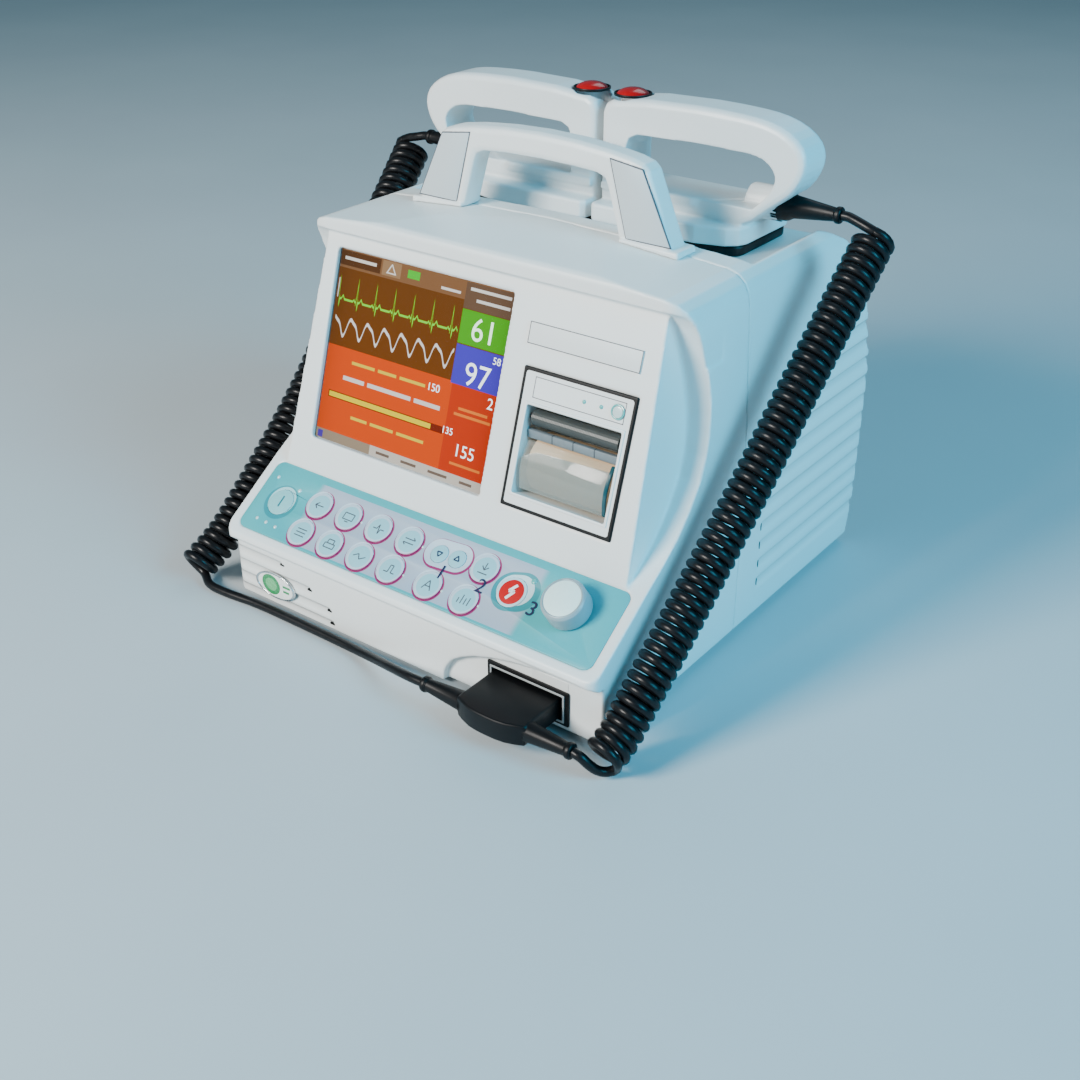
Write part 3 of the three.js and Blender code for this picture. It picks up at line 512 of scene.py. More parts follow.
def key_panel():
    """Printed foil: mint ends, a mauve field with thin mint bands, and the rings round the keys."""
    finish = Finish("key_panel")
    place = finish.place(DESK)
    x, v, _ = finish.split(place)
    wear = finish.noise(place, 0.25, 4.0)
    pebble = finish.noise(place, 2.5, 2.0)

    field = (abs(x + 6.0) < 94.0).least(abs(v - 24.6) < 22.6)
    soft = finish.node("ShaderNodeMapRange", {"interpolation_type": "SMOOTHSTEP"}, {
        "Value": abs(x + 6.0), "From Min": 88.0, "From Max": 94.0, "To Min": 1.0, "To Max": 0.0})
    tone = finish.mix(wear * 0.6, tuple(c * 0.94 for c in MINT), MINT)
    tone = finish.mix(field * soft, tone, MAUVE)

    regular = [key for key in KEYS if key[3] == 9.6]
    ring = None
    shifted = None
    for _, kx, kv, _ in regular:
        near = finish.distance(place, kx, kv)
        far = finish.distance(place, kx - 0.75, kv + 0.75)
        ring = near if ring is None else ring.least(near)
        shifted = far if shifted is None else shifted.least(far)
    tone = finish.mix(ring < 10.9, tone, RING_MAGENTA)
    tone = finish.mix(shifted < 9.9, tone, KEY_EDGE)

    def oval(cx, cv, half, tilt):
        """Distance outside a level capsule's spine, tilted a little."""
        along = (x - cx) + (v - cv) * tilt
        across = (v - cv) - (x - cx) * tilt
        over = (abs(along) - half).either(0.0)
        squared = over * over + across * across
        return squared.maths("POWER", squared, 0.5)

    pair = oval(18.5, 32.7, 7.6, 0.075)
    tone = finish.mix(pair < 10.6, tone, RING_MAGENTA)
    tone = finish.mix(oval(17.9, 33.3, 7.6, 0.075) < 9.6, tone, KEY_EDGE)

    shock = oval(73.2, 27.8, 3.0, 0.3)
    tone = finish.mix(shock < 13.6, tone, RING_TEAL)
    tone = finish.mix(oval(72.4, 28.6, 2.2, 0.3) < 10.6, tone, (0.46, 0.68, 0.74))

    power = finish.distance(place, -120.3, 25.0)
    power_inner = finish.distance(place, -120.3, 26.2)
    tone = finish.mix(power < 12.8, tone, RING_TEAL)
    tone = finish.mix(power_inner < 10.6, tone, (0.30, 0.62, 0.66))
    return finish.done(Base_Color=tone, Roughness=0.28 + wear * 0.14, Normal=finish.bump(pebble, 0.015, 0.5))


def key_top():
    """Printed top of one key: pale centre, a paler band, a thin ring at the edge."""
    finish = Finish("key_top")
    place = finish.place(DESK)
    wear = finish.noise(place, 0.6, 4.0)
    near = None
    shifted = None
    for _, kx, kv, radius in KEYS:
        if radius != 9.6:
            continue
        here = finish.distance(place, kx, kv)
        there = finish.distance(place, kx - 0.75, kv + 0.75)
        near = here if near is None else near.least(here)
        shifted = there if shifted is None else shifted.least(there)
    tone = finish.mix(wear, tuple(c * 0.94 for c in KEY_CENTRE), KEY_CENTRE)
    tone = finish.mix((near > 7.7).least(near < 11.0), tone, KEY_EDGE)
    tone = finish.mix((shifted > 9.9).least(near < 11.0), tone, RING_MAGENTA)
    return finish.done(Base_Color=tone, Roughness=0.26 + wear * 0.14)


def shock_top():
    """Red disc with a pale blue band round it."""
    finish = Finish("shock_top")
    place = finish.place(DESK)
    wear = finish.noise(place, 0.6, 4.0)
    red = finish.mix(wear, (0.46, 0.006, 0.008), (0.56, 0.012, 0.014))
    tone = finish.mix(finish.distance(place, 71.0, 26.6) > 8.1, red, (0.46, 0.68, 0.74))
    return finish.done(Base_Color=tone, Roughness=0.24 + wear * 0.12)


def power_top():
    finish = Finish("power_top")
    place = finish.place(DESK)
    x, v, _ = finish.split(place)
    wear = finish.noise(place, 0.6, 4.0)
    mark = (abs(x + 120.3) < 0.7).least(abs(v - 25.5) < 4.2)
    tone = finish.mix(wear, (0.20, 0.52, 0.56), (0.24, 0.57, 0.60))
    tone = finish.mix(mark, tone, (0.02, 0.17, 0.21))
    return finish.done(Base_Color=tone, Roughness=0.26 + wear * 0.14)


def screen_picture():
    """The lit screen: header, two traces, reading boxes, a message field and a foot strip."""
    finish = Finish("screen_picture")
    place = finish.place(FACE)
    x, v, _ = finish.split(place)
    x0, x1, v0, v1 = SCREEN
    u = (x - x0) / (x1 - x0)
    w = (v - v0) / (v1 - v0)

    def box(a0, a1, b0, b1):
        return (abs(u - (a0 + a1) / 2) < (a1 - a0) / 2).least(abs(w - (b0 + b1) / 2) < (b1 - b0) / 2)

    def lines(rows):
        mask = None
        for row in rows:
            here = box(*row)
            mask = here if mask is None else mask.either(here)
        return mask

    brown = finish.mix(w, (0.19, 0.050, 0.006), (0.15, 0.052, 0.008))
    tone = finish.mix(box(0.0, 1.0, 0.905, 1.0), brown, (0.24, 0.115, 0.05))
    tone = finish.mix(box(0.0, 0.245, 0.918, 0.992), tone, (0.10, 0.040, 0.014))
    tone = finish.mix(box(0.255, 0.365, 0.918, 0.992), tone, (0.34, 0.20, 0.10))
    tone = finish.mix(box(0.735, 1.0, 0.865, 0.992), tone, (0.15, 0.085, 0.05))
    # message field below the traces
    tone = finish.mix(box(0.0, 1.0, 0.055, 0.505), tone, (0.78, 0.075, 0.004))
    tone = finish.mix(box(0.745, 1.0, 0.055, 0.505), tone, (0.62, 0.040, 0.006))
    # reading boxes
    tone = finish.mix(box(0.735, 1.0, 0.695, 0.862), tone, (0.07, 0.44, 0.01))
    tone = finish.mix(box(0.735, 1.0, 0.495, 0.690), tone, (0.075, 0.045, 0.60))
    # progress bar
    tone = finish.mix(box(0.045, 0.735, 0.232, 0.268), tone, (0.20, 0.02, 0.006))
    tone = finish.mix(box(0.05, 0.665, 0.237, 0.263), tone, (0.95, 0.74, 0.01))
    # plain bars where words would be
    yellow = lines([(0.16, 0.30, 0.430, 0.446), (0.32, 0.43, 0.430, 0.446), (0.45, 0.60, 0.430, 0.446),
                    (0.20, 0.30, 0.150, 0.166), (0.32, 0.46, 0.150, 0.166), (0.48, 0.64, 0.150, 0.166)])
    white = lines([(0.12, 0.25, 0.340, 0.362), (0.27, 0.53, 0.340, 0.362), (0.55, 0.70, 0.340, 0.362),
                   (0.03, 0.22, 0.948, 0.964), (0.76, 0.98, 0.955, 0.970), (0.80, 0.98, 0.905, 0.920),
                   (0.60, 0.71, 0.925, 0.938)])
    orange = lines([(0.80, 0.96, 0.375, 0.389), (0.78, 0.98, 0.345, 0.359), (0.80, 0.97, 0.10, 0.113)])
    tone = finish.mix(yellow, tone, (0.92, 0.66, 0.04))
    tone = finish.mix(white, tone, (0.86, 0.82, 0.76))
    tone = finish.mix(orange, tone, (0.92, 0.24, 0.03))
    # battery mark and a small triangle
    tone = finish.mix(box(0.405, 0.475, 0.935, 0.975), tone, (0.06, 0.62, 0.03))
    triangle = (abs(u - 0.31) < (0.985 - w) * 0.55).least(box(0.27, 0.35, 0.93, 0.98))
    inner = (abs(u - 0.31) < (0.972 - w) * 0.55).least(box(0.27, 0.35, 0.937, 0.98))
    tone = finish.mix(triangle - triangle.least(inner), tone, (0.86, 0.82, 0.76))
    # traces
    phase = (u * 9.0 + 0.22).wrap(1.0)

    def peak(centre, width, height):
        return ((1.0 - abs(phase - centre) / width).either(0.0)) * height

    spike = peak(0.42, 0.035, 0.105) - peak(0.47, 0.03, 0.025)
    beat = spike + peak(0.66, 0.09, 0.020) + peak(0.27, 0.05, 0.010)
    slope_room = (phase < 0.5).least(phase > 0.37) * 0.015 + 0.0055
    ecg = (abs(w - (beat + 0.745)) < slope_room).least(box(0.02, 0.725, 0.70, 0.90))
    tone = finish.mix(ecg, tone, (0.22, 0.90, 0.04))
    pleth_level = (u * 62.0).sine() * 0.042 + (u * 124.0 + 0.8).sine() * 0.012 + 0.612
    pleth = (abs(w - pleth_level) < 0.0095).least(box(0.02, 0.725, 0.50, 0.69))
    tone = finish.mix(pleth, tone, (0.88, 0.84, 0.78))
    tone = finish.mix(box(0.012, 0.018, 0.75, 0.85), tone, (0.86, 0.82, 0.76))
    # foot strip
    tone = finish.mix(box(0.0, 1.0, 0.0, 0.055), tone, (0.66, 0.60, 0.52))
    tone = finish.mix(box(0.0, 0.34, 0.0, 0.055), tone, (0.34, 0.26, 0.18))
    tone = finish.mix(box(0.015, 0.045, 0.008, 0.045), tone, (0.09, 0.04, 0.45))
    words = lines([(0.38, 0.46, 0.020, 0.034), (0.53, 0.62, 0.020, 0.034), (0.69, 0.80, 0.020, 0.034),
                   (0.87, 0.94, 0.020, 0.034)])
    tone = finish.mix(words, tone, (0.18, 0.13, 0.10))
    # darker towards the edges of the picture
    edge = ((abs(u - 0.5) * 2.0).maths("POWER", abs(u - 0.5) * 2.0, 8.0)) * 0.25
    grid = (x * 9.0).sine() * (v * 9.0).sine() * 0.03
    level = grid + 0.95 - edge
    glow = finish.node("ShaderNodeVectorMath", {"operation": "SCALE"}, {0: tone, "Scale": level})
    dark = finish.node("ShaderNodeVectorMath", {"operation": "SCALE"}, {0: tone, "Scale": level * 0.25})
    return finish.done(Base_Color=dark, Roughness=0.6 + grid, Emission_Color=glow, Emission_Strength=0.9,
                       Specular_IOR_Level=0.03)


def floor_paint():
    finish = Finish("floor_paint")
    cloud = finish.noise(finish.place(), 0.004, 3.0)
    tone = finish.mix(cloud, (0.44, 0.50, 0.53), (0.49, 0.55, 0.58))
    return finish.done(Base_Color=tone, Roughness=0.6 + cloud * 0.1)


# ---------- making meshes ----------
CORNER_STEPS = 6       # flats round a plate's corner
STEPS_PER_TURN = 18    # points along one turn of a coil
PRINT_LEVEL = 0.42     # height of the printed symbols over the key panel, in mm


def deselect():
    if bpy.context.object and bpy.context.object.mode != "OBJECT":
        bpy.ops.object.mode_set(mode="OBJECT")
    bpy.ops.object.select_all(action="DESELECT")


def pick(obj):
    deselect()
    obj.select_set(True)
    bpy.context.view_layer.objects.active = obj
    return obj


def settle(obj, name, matrix=None, finish=None):
    """Names the piece, puts its place into its mesh and gives it its finish."""
    obj.name = name
    obj.data.name = name
    bpy.context.view_layer.update()
    whole = obj.matrix_world.copy() if matrix is None else matrix @ obj.matrix_world
    obj.parent = None
    obj.data.transform(whole)
    obj.matrix_world = Matrix.Identity(4)
    if finish is not None:
        obj.data.materials.clear()
        obj.data.materials.append(material(finish))
    return obj


def smooth(obj, degrees=35):
    pick(obj)
    bpy.ops.object.shade_smooth_by_angle(angle=math.radians(degrees))
    return obj


def apply_all(obj):
    pick(obj)
    for modifier in list(obj.modifiers):
        bpy.ops.object.modifier_apply(modifier=modifier.name)
    return obj


def bevel(obj, width, segments=3, degrees=30):
    made = obj.modifiers.new("bevel", "BEVEL")
    made.width = width
    made.segments = segments
    made.limit_method = "ANGLE"
    made.angle_limit = math.radians(degrees)
    made.use_clamp_overlap = False
    return apply_all(obj)


def edit(obj, action):
    """Runs edit-mode operators on obj with everything selected first."""
    pick(obj)
    bpy.ops.object.mode_set(mode="EDIT")
    bpy.ops.mesh.select_all(action="SELECT")
    action()
    bpy.ops.object.mode_set(mode="OBJECT")
    return obj


def block(size, centre, turn=(0, 0, 0), edge=0.0):
    """A box of size (x, y, z) about centre, its edges rounded."""
    deselect()
    bpy.ops.mesh.primitive_cube_add(size=1, location=centre, rotation=turn)
    obj = bpy.context.object
    obj.scale = size
    pick(obj)
    bpy.ops.object.transform_apply(location=False, rotation=False, scale=True)
    if edge:
        bevel(obj, edge, 2)
    return obj


def disc(radius, depth, centre, vertices=48, edge=0.0, segments=2):
    """A round plate whose axis is Z, its edges rounded."""
    deselect()
    bpy.ops.mesh.primitive_cylinder_add(vertices=vertices, radius=radius, depth=depth, location=centre)
    obj = bpy.context.object
    if edge:
        bevel(obj, edge, segments)
    return obj


def dome(radius, height, centre, rings=10, segments=32):
    """The upper part of a sphere, flattened to height, with a closed flat base."""
    deselect()
    bpy.ops.mesh.primitive_uv_sphere_add(
        segments=segments, ring_count=rings * 2, radius=radius, location=(0, 0, 0))
    obj = bpy.context.object

    def cut():
        bpy.ops.mesh.bisect(plane_co=(0, 0, 0), plane_no=(0, 0, 1), use_fill=True, clear_inner=True)
    edit(obj, cut)
    obj.scale = (1, 1, height / radius)
    obj.location = centre
    return obj


def rounded_plate(x0, x1, y0, y1, z0, z1, corner, edge=0.0):
    """A flat plate with round corners in plan."""
    obj = block((x1 - x0, y1 - y0, z1 - z0), ((x0 + x1) / 2, (y0 + y1) / 2, (z0 + z1) / 2))

    def round_corners():
        bpy.ops.mesh.select_all(action="DESELECT")
        mesh = bmesh.from_edit_mesh(obj.data)
        for side in mesh.edges:
            a, b = (vertex.co for vertex in side.verts)
            if abs(a.x - b.x) < 1e-6 and abs(a.y - b.y) < 1e-6:
                side.select_set(True)
        mesh.select_flush_mode()
        bmesh.update_edit_mesh(obj.data)
        bpy.ops.mesh.bevel(offset=corner, segments=CORNER_STEPS, clamp_overlap=True)
    edit(obj, round_corners)
    if edge:
        bevel(obj, edge, 2)
    return obj


def ring_plate(outer, inner, z0, z1, outer_corner, inner_corner, edge=0.0):
    """A flat frame: an outer rounded plate with a rounded opening."""
    plate = rounded_plate(*outer, z0, z1, outer_corner)
    hole = rounded_plate(*inner, z0 - 5, z1 + 5, inner_corner)
    cut(plate, hole)
    if edge:
        bevel(plate, edge, 2)
    return plate


def cut(obj, tool):
    made = obj.modifiers.new("cut", "BOOLEAN")
    made.operation = "DIFFERENCE"
    made.object = tool
    made.solver = "EXACT"
    apply_all(obj)
    bpy.data.objects.remove(tool, do_unlink=True)
    return obj


def join(objs):
    deselect()
    for obj in objs:
        obj.select_set(True)
    bpy.context.view_layer.objects.active = objs[0]
    bpy.ops.object.join()
    return bpy.context.object


def attach(obj, body, *nodes, slot=None):
    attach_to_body(obj, body)
    if nodes:
        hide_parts(*nodes)
    return obj


def body_of(node):
    for body, members in frame["record"]["behaviour"]["bodies"].items():
        if node in members:
            return body
    raise KeyError(node)


def solid_copy(node, name):
    """A merged copy of a CAD node's mesh, its flat faces whole again."""
    source = frame["nodes"][node]
    obj = bpy.data.objects.new(name, source.data.copy())
    bpy.context.scene.collection.objects.link(obj)
    obj.data.name = name
    obj.data.materials.clear()

    def tidy():
        bpy.ops.mesh.remove_doubles(threshold=1e-6)
        bpy.ops.mesh.dissolve_limited(angle_limit=math.radians(1.0))
    return edit(obj, tidy)


def eased(node, name, finish, width, segments=3, degrees=30, slot=None, shade=35):
    """The CAD node with its sharp edges rounded, in its finish."""
    obj = solid_copy(node, name)
    bevel(obj, width * MM, segments, degrees)
    smooth(obj, shade)
    obj.data.materials.append(material(finish))
    return attach(obj, body_of(node), node, slot=slot)


def melted(node, name, finish, voxel, passes, triangles, slot=None):
    """The CAD node with every edge rounded softly, as thick moulded plastic is."""
    obj = solid_copy(node, name)
    remesh = obj.modifiers.new("remesh", "REMESH")
    remesh.mode = "VOXEL"
    remesh.voxel_size = voxel * MM
    soften = obj.modifiers.new("soften", "SMOOTH")
    soften.factor = 0.5
    soften.iterations = passes
    apply_all(obj)
    thin = obj.modifiers.new("thin", "DECIMATE")
    thin.ratio = min(1.0, triangles / (2 * len(obj.data.polygons)))
    apply_all(obj)
    smooth(obj, 60)
    obj.data.materials.clear()
    obj.data.materials.append(material(finish))
    return attach(obj, body_of(node), node, slot=slot)


def dress(node, finish):
    """A CAD node that stays, in a better finish."""
    obj = frame["nodes"][node]
    obj.data.materials.clear()
    obj.data.materials.append(material(finish))
    return obj


# ---------- settings ----------
class DefibrillatorSettings(bpy.types.PropertyGroup):
    """Sizes and colours that a user would change."""
    case_colour: bpy.props.FloatVectorProperty(
        name="Case colour", description="Colour of the moulded case", subtype="COLOR",
        size=3, min=0.0, max=1.0, default=(0.76, 0.80, 0.80))
    edge_round: bpy.props.FloatProperty(
        name="Edge rounding", description="Radius on the edges of the case, in millimetres",
        min=0.2, max=2.0, default=1.0)
    wire_diameter: bpy.props.FloatProperty(
        name="Wire diameter", description="Thickness of the paddle wires, in metres",
        unit="LENGTH", default=0.006)
    right_turns: bpy.props.IntProperty(
        name="Right turns", description="Turns in the right curly cord", min=10, max=80, default=52)
    left_turns: bpy.props.IntProperty(
        name="Left turns", description="Turns in the left curly cord", min=10, max=80, default=50)
    lens: bpy.props.FloatProperty(
        name="Lens", description="Focal length of the camera, in millimetres", default=46.33)


def settings():
    return bpy.context.scene.defibrillator


# ---------- stage and camera ----------
class DEFIB_OT_stage(bpy.types.Operator):
    """Makes the camera, the floor and the lights"""
    bl_idname = "defib.stage"
    bl_label = "Stage"

    def execute(self, context):
        data = bpy.data.cameras.new("camera")
        data.lens = settings().lens
        data.sensor_width = 36.0
        data.clip_start = 0.05
        data.clip_end = 20.0
        camera = bpy.data.objects.new("camera", data)
        context.scene.collection.objects.link(camera)
        camera.location = (0.5005, -0.681, 0.5)
        azimuth = math.radians(36.92)
        elevation = math.radians(29.67)
        camera.rotation_euler = Euler((math.pi / 2 - elevation, 0.0, azimuth))
        context.scene.camera = camera

        deselect()
        bpy.ops.mesh.primitive_plane_add(size=8.0, location=(0, 0, 0))
        floor = settle(context.object, "floor", finish=floor_paint)

        world = bpy.data.worlds.new("studio")
        world.use_nodes = True
        backdrop = world.node_tree.nodes["Background"]
        backdrop.inputs["Color"].default_value = (0.24, 0.60, 0.80, 1.0)
        backdrop.inputs["Strength"].default_value = 0.22
        context.scene.world = world

        for name, place, size, power, colour in (
                ("key", (-0.7, -2.0, 1.25), 0.8, 98.0, (1.0, 0.955, 0.90)),
                ("fill", (1.9, -0.1, 1.2), 1.1, 66.0, (0.09, 0.66, 1.0)),
                ("back", (-0.2, 1.6, 2.0), 1.2, 9.0, (0.80, 0.93, 1.0))):
            light = bpy.data.lights.new(name, "AREA")
            light.size = size
            light.energy = power
            light.color = colour
            lamp_object = bpy.data.objects.new(name, light)
            context.scene.collection.objects.link(lamp_object)
            lamp_object.location = place
            aim = Vector((0, 0, 0.15)) - Vector(place)
            lamp_object.rotation_euler = aim.to_track_quat("-Z", "Y").to_euler()
        return {"FINISHED"}


# ---------- cords ----------
def spline(points, count):
    """Points at even spacing on a smooth curve through the given ones."""
    points = [Vector(p) for p in points]
    padded = [2 * points[0] - points[1], *points, 2 * points[-1] - points[-2]]
    dense = []
    for i in range(1, len(padded) - 2):
        p0, p1, p2, p3 = padded[i - 1:i + 3]
        for step in range(24):
            t = step / 24
            dense.append(0.5 * (2 * p1 + (p2 - p0) * t + (2 * p0 - 5 * p1 + 4 * p2 - p3) * t * t
                                + (3 * p1 - p0 - 3 * p2 + p3) * t ** 3))
    dense.append(points[-1])
    lengths = [0.0]
    for a, b in zip(dense, dense[1:]):
        lengths.append(lengths[-1] + (b - a).length)
    even = []
    at = 0
    for i in range(count + 1):
        goal = lengths[-1] * i / count
        while at < len(dense) - 2 and lengths[at + 1] < goal:
            at += 1
        part = (goal - lengths[at]) / max(1e-9, lengths[at + 1] - lengths[at])
        even.append(dense[at].lerp(dense[at + 1], min(1.0, part)))
    return even


def helix(centreline, turns, radius, start_angle, sense):
    """Points of a wire wound round a centreline; angle 0 is the +X side, 90 degrees the upper front side."""
    steps = round(turns * STEPS_PER_TURN)
    line = spline(centreline, steps)
    points = []
    for i, centre in enumerate(line):
        ahead = line[min(i + 1, steps)] - line[max(i - 1, 0)]
        along = ahead.normalized()
        side = Vector((1, 0, 0))
        side = (side - along * side.dot(along)).normalized()
        upper = along.cross(side)
        if upper.z < 0:
            upper = -upper
        angle = start_angle + sense * 2 * math.pi * i / STEPS_PER_TURN
        points.append(centre + side * radius * math.cos(angle) + upper * radius * math.sin(angle))
    return points


def wire(name, points, diameter):
    """A tube of round section along the points, closed at both ends."""
    data = bpy.data.curves.new(name, "CURVE")
    data.dimensions = "3D"
    data.bevel_depth = diameter / 2
    data.bevel_resolution = 3
    data.use_fill_caps = True
    track = data.splines.new("POLY")
    track.points.add(len(points) - 1)
    for point, at in zip(track.points, points):
        point.co = (*at, 1.0)
    obj = bpy.data.objects.new(name, data)
    bpy.context.scene.collection.objects.link(obj)
    pick(obj)
    bpy.ops.object.convert(target="MESH")
    obj = bpy.context.object
    edit(obj, lambda: bpy.ops.mesh.remove_doubles(threshold=1e-6))
    smooth(obj, 60)
    obj.data.materials.append(material(cord_rubber))
    return obj


class DEFIB_OT_cords(bpy.types.Operator):
    """Winds the two curly paddle cords"""
    bl_idname = "defib.cords"
    bl_label = "Cords"

    def execute(self, context):
        diameter = settings().wire_diameter
        plans = {
            "right": (RIGHT_CURL, settings().right_turns + 0.375,
                      [(160.2, 222, 261.5), (164, 222, 261.5), (170, 221, 260.2)],
                      [(165.5, -18.5, 5.8), (162, -22.5, 7.5), (158.8, -26.4, 12.2), (154.6, -28.8, 17.2),
                       (149.6, -29, 18.5)]),
            "left": (LEFT_CURL, settings().left_turns + 0.5,
                     [(-160.2, 222, 261.5), (-164, 222, 261.5), (-170, 221, 260.2)],
                     [(-166, -14.5, 4.0), (-150, -14.6, 3.4), (-125, -12.0, 3.3), (-100, -11.4, 3.3),
                      (-60, -11.6, 3.4), (-34, -13, 4.4), (-12, -17.4, 8.2), (8, -23.4, 13.4),
                      (28, -28.4, 17.6), (40.6, -29, 18.5)]),
        }
        for hand, (curl, turns, top, bottom) in plans.items():
            side = 1 if hand == "right" else -1
            coil = helix(curl, turns, 10.0, math.pi / 2, -side)
            lead_in = spline([*top, coil[0], coil[3]], 18)[:-4]
            tail = spline([coil[-4], coil[-1], *bottom], 40 if side > 0 else 80)[4 if side > 0 else 3:]
            points = [case_point(*p) for p in lead_in + coil[1:-3] + tail]
            obj = wire(f"{hand}_paddle_cord", points, diameter)
            case_point(side * 170, 20, 45)
            case_point(side * 175, 215, 262)
            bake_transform(obj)
            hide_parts(f"{hand}_cord_curl", f"{hand}_cord_top_lead", f"{hand}_cord_plug_lead")
        return {"FINISHED"}


# ---------- case ----------
class DEFIB_OT_case(bpy.types.Operator):
    """Rounds the edges of the two case halves and fills their vent slots with black blocks as painted shade
    """
    bl_idname = "defib.case"
    bl_label = "Case"

    def execute(self, context):
        edge = settings().edge_round
        melted("front_case", "front_case_shell", case_plastic, edge, 3, 195000, "case_plastic")
        melted("rear_case", "rear_case_shell", case_plastic, edge * 1.1, 1, 195000, "case_plastic")
        # black blocks in the vent slots: painted shade for the dark inside of the case
        slots = [block((2.2, 2.4, 5.4), (side * 147.9, 175.1, 28.6 + 13.6 * index), edge=0.3)
                 for index in range(4) for side in (-1, 1)]
        slots += [block((4.2, 1.4, 1.5), (x, -3.4, z + 0.2), edge=0.3) for x, z in FRONT_VENTS]
        painted_vent_shade = settle(join(slots), "vent_painted_shade", CASE, black_plastic)
        attach(painted_vent_shade, "case", slot="black_plastic")
        for name in ("foot_front_right", "foot_front_left", "foot_rear_right", "foot_rear_left"):
            eased(name, name + "_pad", foot_rubber, 0.6, 3, 30, "rubber")
        return {"FINISHED"}


class DEFIB_OT_handle(bpy.types.Operator):
    """Makes the arched carry handle and the panels in its legs"""
    bl_idname = "defib.handle"
    bl_label = "Carry handle"

    def execute(self, context):
        melted("carry_handle", "carry_handle_arch", case_plastic, 0.7, 5, 60000, "case_plastic")
        for side in ("right", "left"):
            panel = f"handle_panel_{side}"
            inset = eased(panel, f"handle_inset_{side}", trim_plastic, 0.25, 2, 30, "trim_plastic")
            edit(inset, lambda: bpy.ops.transform.translate(value=(0.0, -0.3 * MM, 0.0)))
            outline = solid_copy(panel, f"handle_outline_{side}")
            corners = outline.data.vertices
            middle = sum((corner.co for corner in corners), Vector()) / len(corners)
            edit(outline, lambda: bpy.ops.transform.resize(value=(1.04, 1.0, 1.03), center_override=middle))
            edit(outline, lambda: bpy.ops.transform.translate(value=(0.0, -0.12 * MM, 0.0)))
            outline.data.materials.append(material(grey_print))
            attach(outline, "case")
        return {"FINISHED"}


# ---------- paddles ----------
class DEFIB_OT_paddles(bpy.types.Operator):
    """Makes both paddles with their buttons, electrodes and cable boots"""
    bl_idname = "defib.paddles"
    bl_label = "Paddles"

    def execute(self, context):
        for hand, side in (("right", 1), ("left", -1)):
            paddle = f"{hand}_paddle"
            melted(f"{hand}_paddle_shell", f"{hand}_paddle_body", paddle_plastic,
                   0.8, 6, 110000, "case_plastic")
            eased(f"{hand}_electrode_carrier", f"{hand}_electrode_tray", black_plastic,
                  0.8, 3, 30, "black_plastic")
            dress(f"{hand}_electrode", steel_sheet)
            eased(f"{hand}_cable_boot", f"{hand}_cable_gland", boot_rubber, 0.5, 3, 25, "rubber", 50)
            # button with its black collar
            collar = ring_disc(11.9, 10.8, 1.6, (side * 15.5, 215, 314.4), 0.3)
            settle(collar, f"{hand}_button_collar", CASE, black_plastic)
            smooth(collar)
            attach(collar, paddle, slot="black_plastic")
            cap = dome(10.5, 4.8, (side * 15.5, 215, 313.4))
            settle(cap, f"{hand}_button_cap", CASE, red_plastic)
            smooth(cap, 50)
            attach(cap, f"{hand}_paddle_button", f"{hand}_shock_button", slot="red_plastic")
        return {"FINISHED"}


def ring_disc(outer, inner, depth, centre, edge=0.0, vertices=64):
    """A flat ring with rounded edges."""
    obj = disc(outer, depth, centre, vertices)
    cut(obj, disc(inner, depth * 3, centre, vertices))
    if edge:
        bevel(obj, edge, 2)
    return obj


# ---------- key panel ----------
class DEFIB_OT_keypad(bpy.types.Operator):
    """Dresses the printed foil, the keys, the numerals and the small lamps"""
    bl_idname = "defib.keypad"
    bl_label = "Key panel"

    def execute(self, context):
        eased("keypad_foil", "key_panel_foil", key_panel, 0.15, 2, 40, "foil")
        for name, x, v, radius in KEYS:
            top = disc(radius, 1.2, (x, v, -0.2), 64, edge=0.35, segments=3)
            finish = {"shock_key": shock_top, "power_key": power_top}.get(name, key_top)
            settle(top, name + "_disc", DESK, finish)
            smooth(top)
            attach(top, name + "_cap", name, slot="red_plastic" if name == "shock_key" else "key_plastic")
            marks = key_symbol(name, x, v)
            if marks:
                symbol = settle(marks, name + "_symbol", DESK, symbol_finish(name))
                attach(symbol, name + "_cap")
        for index, (x, v, radius) in enumerate((
                (-112, 37, 1.5), (-134.5, 40.7, 1.3), (-130, 9, 1.3), (-121.3, 8.5, 1.3), (-112.3, 7.8, 1.3),
                (-53.2, 32.4, 0.9), (-1.8, 32.4, 0.9), (-2.6, 10.9, 0.9), (27.9, 10.9, 0.9), (56, 10.9, 0.9),
                (80.6, 37.8, 1.9))):
            bead = dome(radius, radius * 0.55, (x, v, -0.05), 5, 20)
            settle(bead, f"key_lamp_{index + 1}", DESK, pale_lamp if index < 10 else teal_lamp)
            smooth(bead, 50)
            attach(bead, "case")
        for numeral, x, v in (("1", 20.4, 21.2), ("2", 50.3, 22.4), ("3", 89.0, 21.2)):
            printed = numeral_print(numeral, x, v, 9.6, f"step_numeral_{numeral}",
                                    DESK, navy_print, 0.46, 0.022)
            attach(printed, "case")
        return {"FINISHED"}


def numeral_print(text, x, v, height, name, matrix, finish, level=0.03, bold=0.0):
    """A printed numeral lying on a panel."""
    deselect()
    bpy.ops.object.text_add(location=(0, 0, 0))
    obj = bpy.context.object
    obj.data.body = text
    obj.data.size = height * 1.38
    obj.data.extrude = 0.03
    obj.data.offset = bold
    obj.data.align_x = "CENTER"
    obj.data.align_y = "CENTER"
    pick(obj)
    bpy.ops.object.convert(target="MESH")
    obj = bpy.context.object
    obj.location = (x, v, level)
    return settle(obj, name, matrix, finish)


def stroke(x0, v0, x1, v1, width):
    """One printed line between two points."""
    length = math.hypot(x1 - x0, v1 - v0)
    turn = math.atan2(v1 - v0, x1 - x0)
    return block((length, width, 0.06), ((x0 + x1) / 2, (v0 + v1) / 2, PRINT_LEVEL), (0, 0, turn))


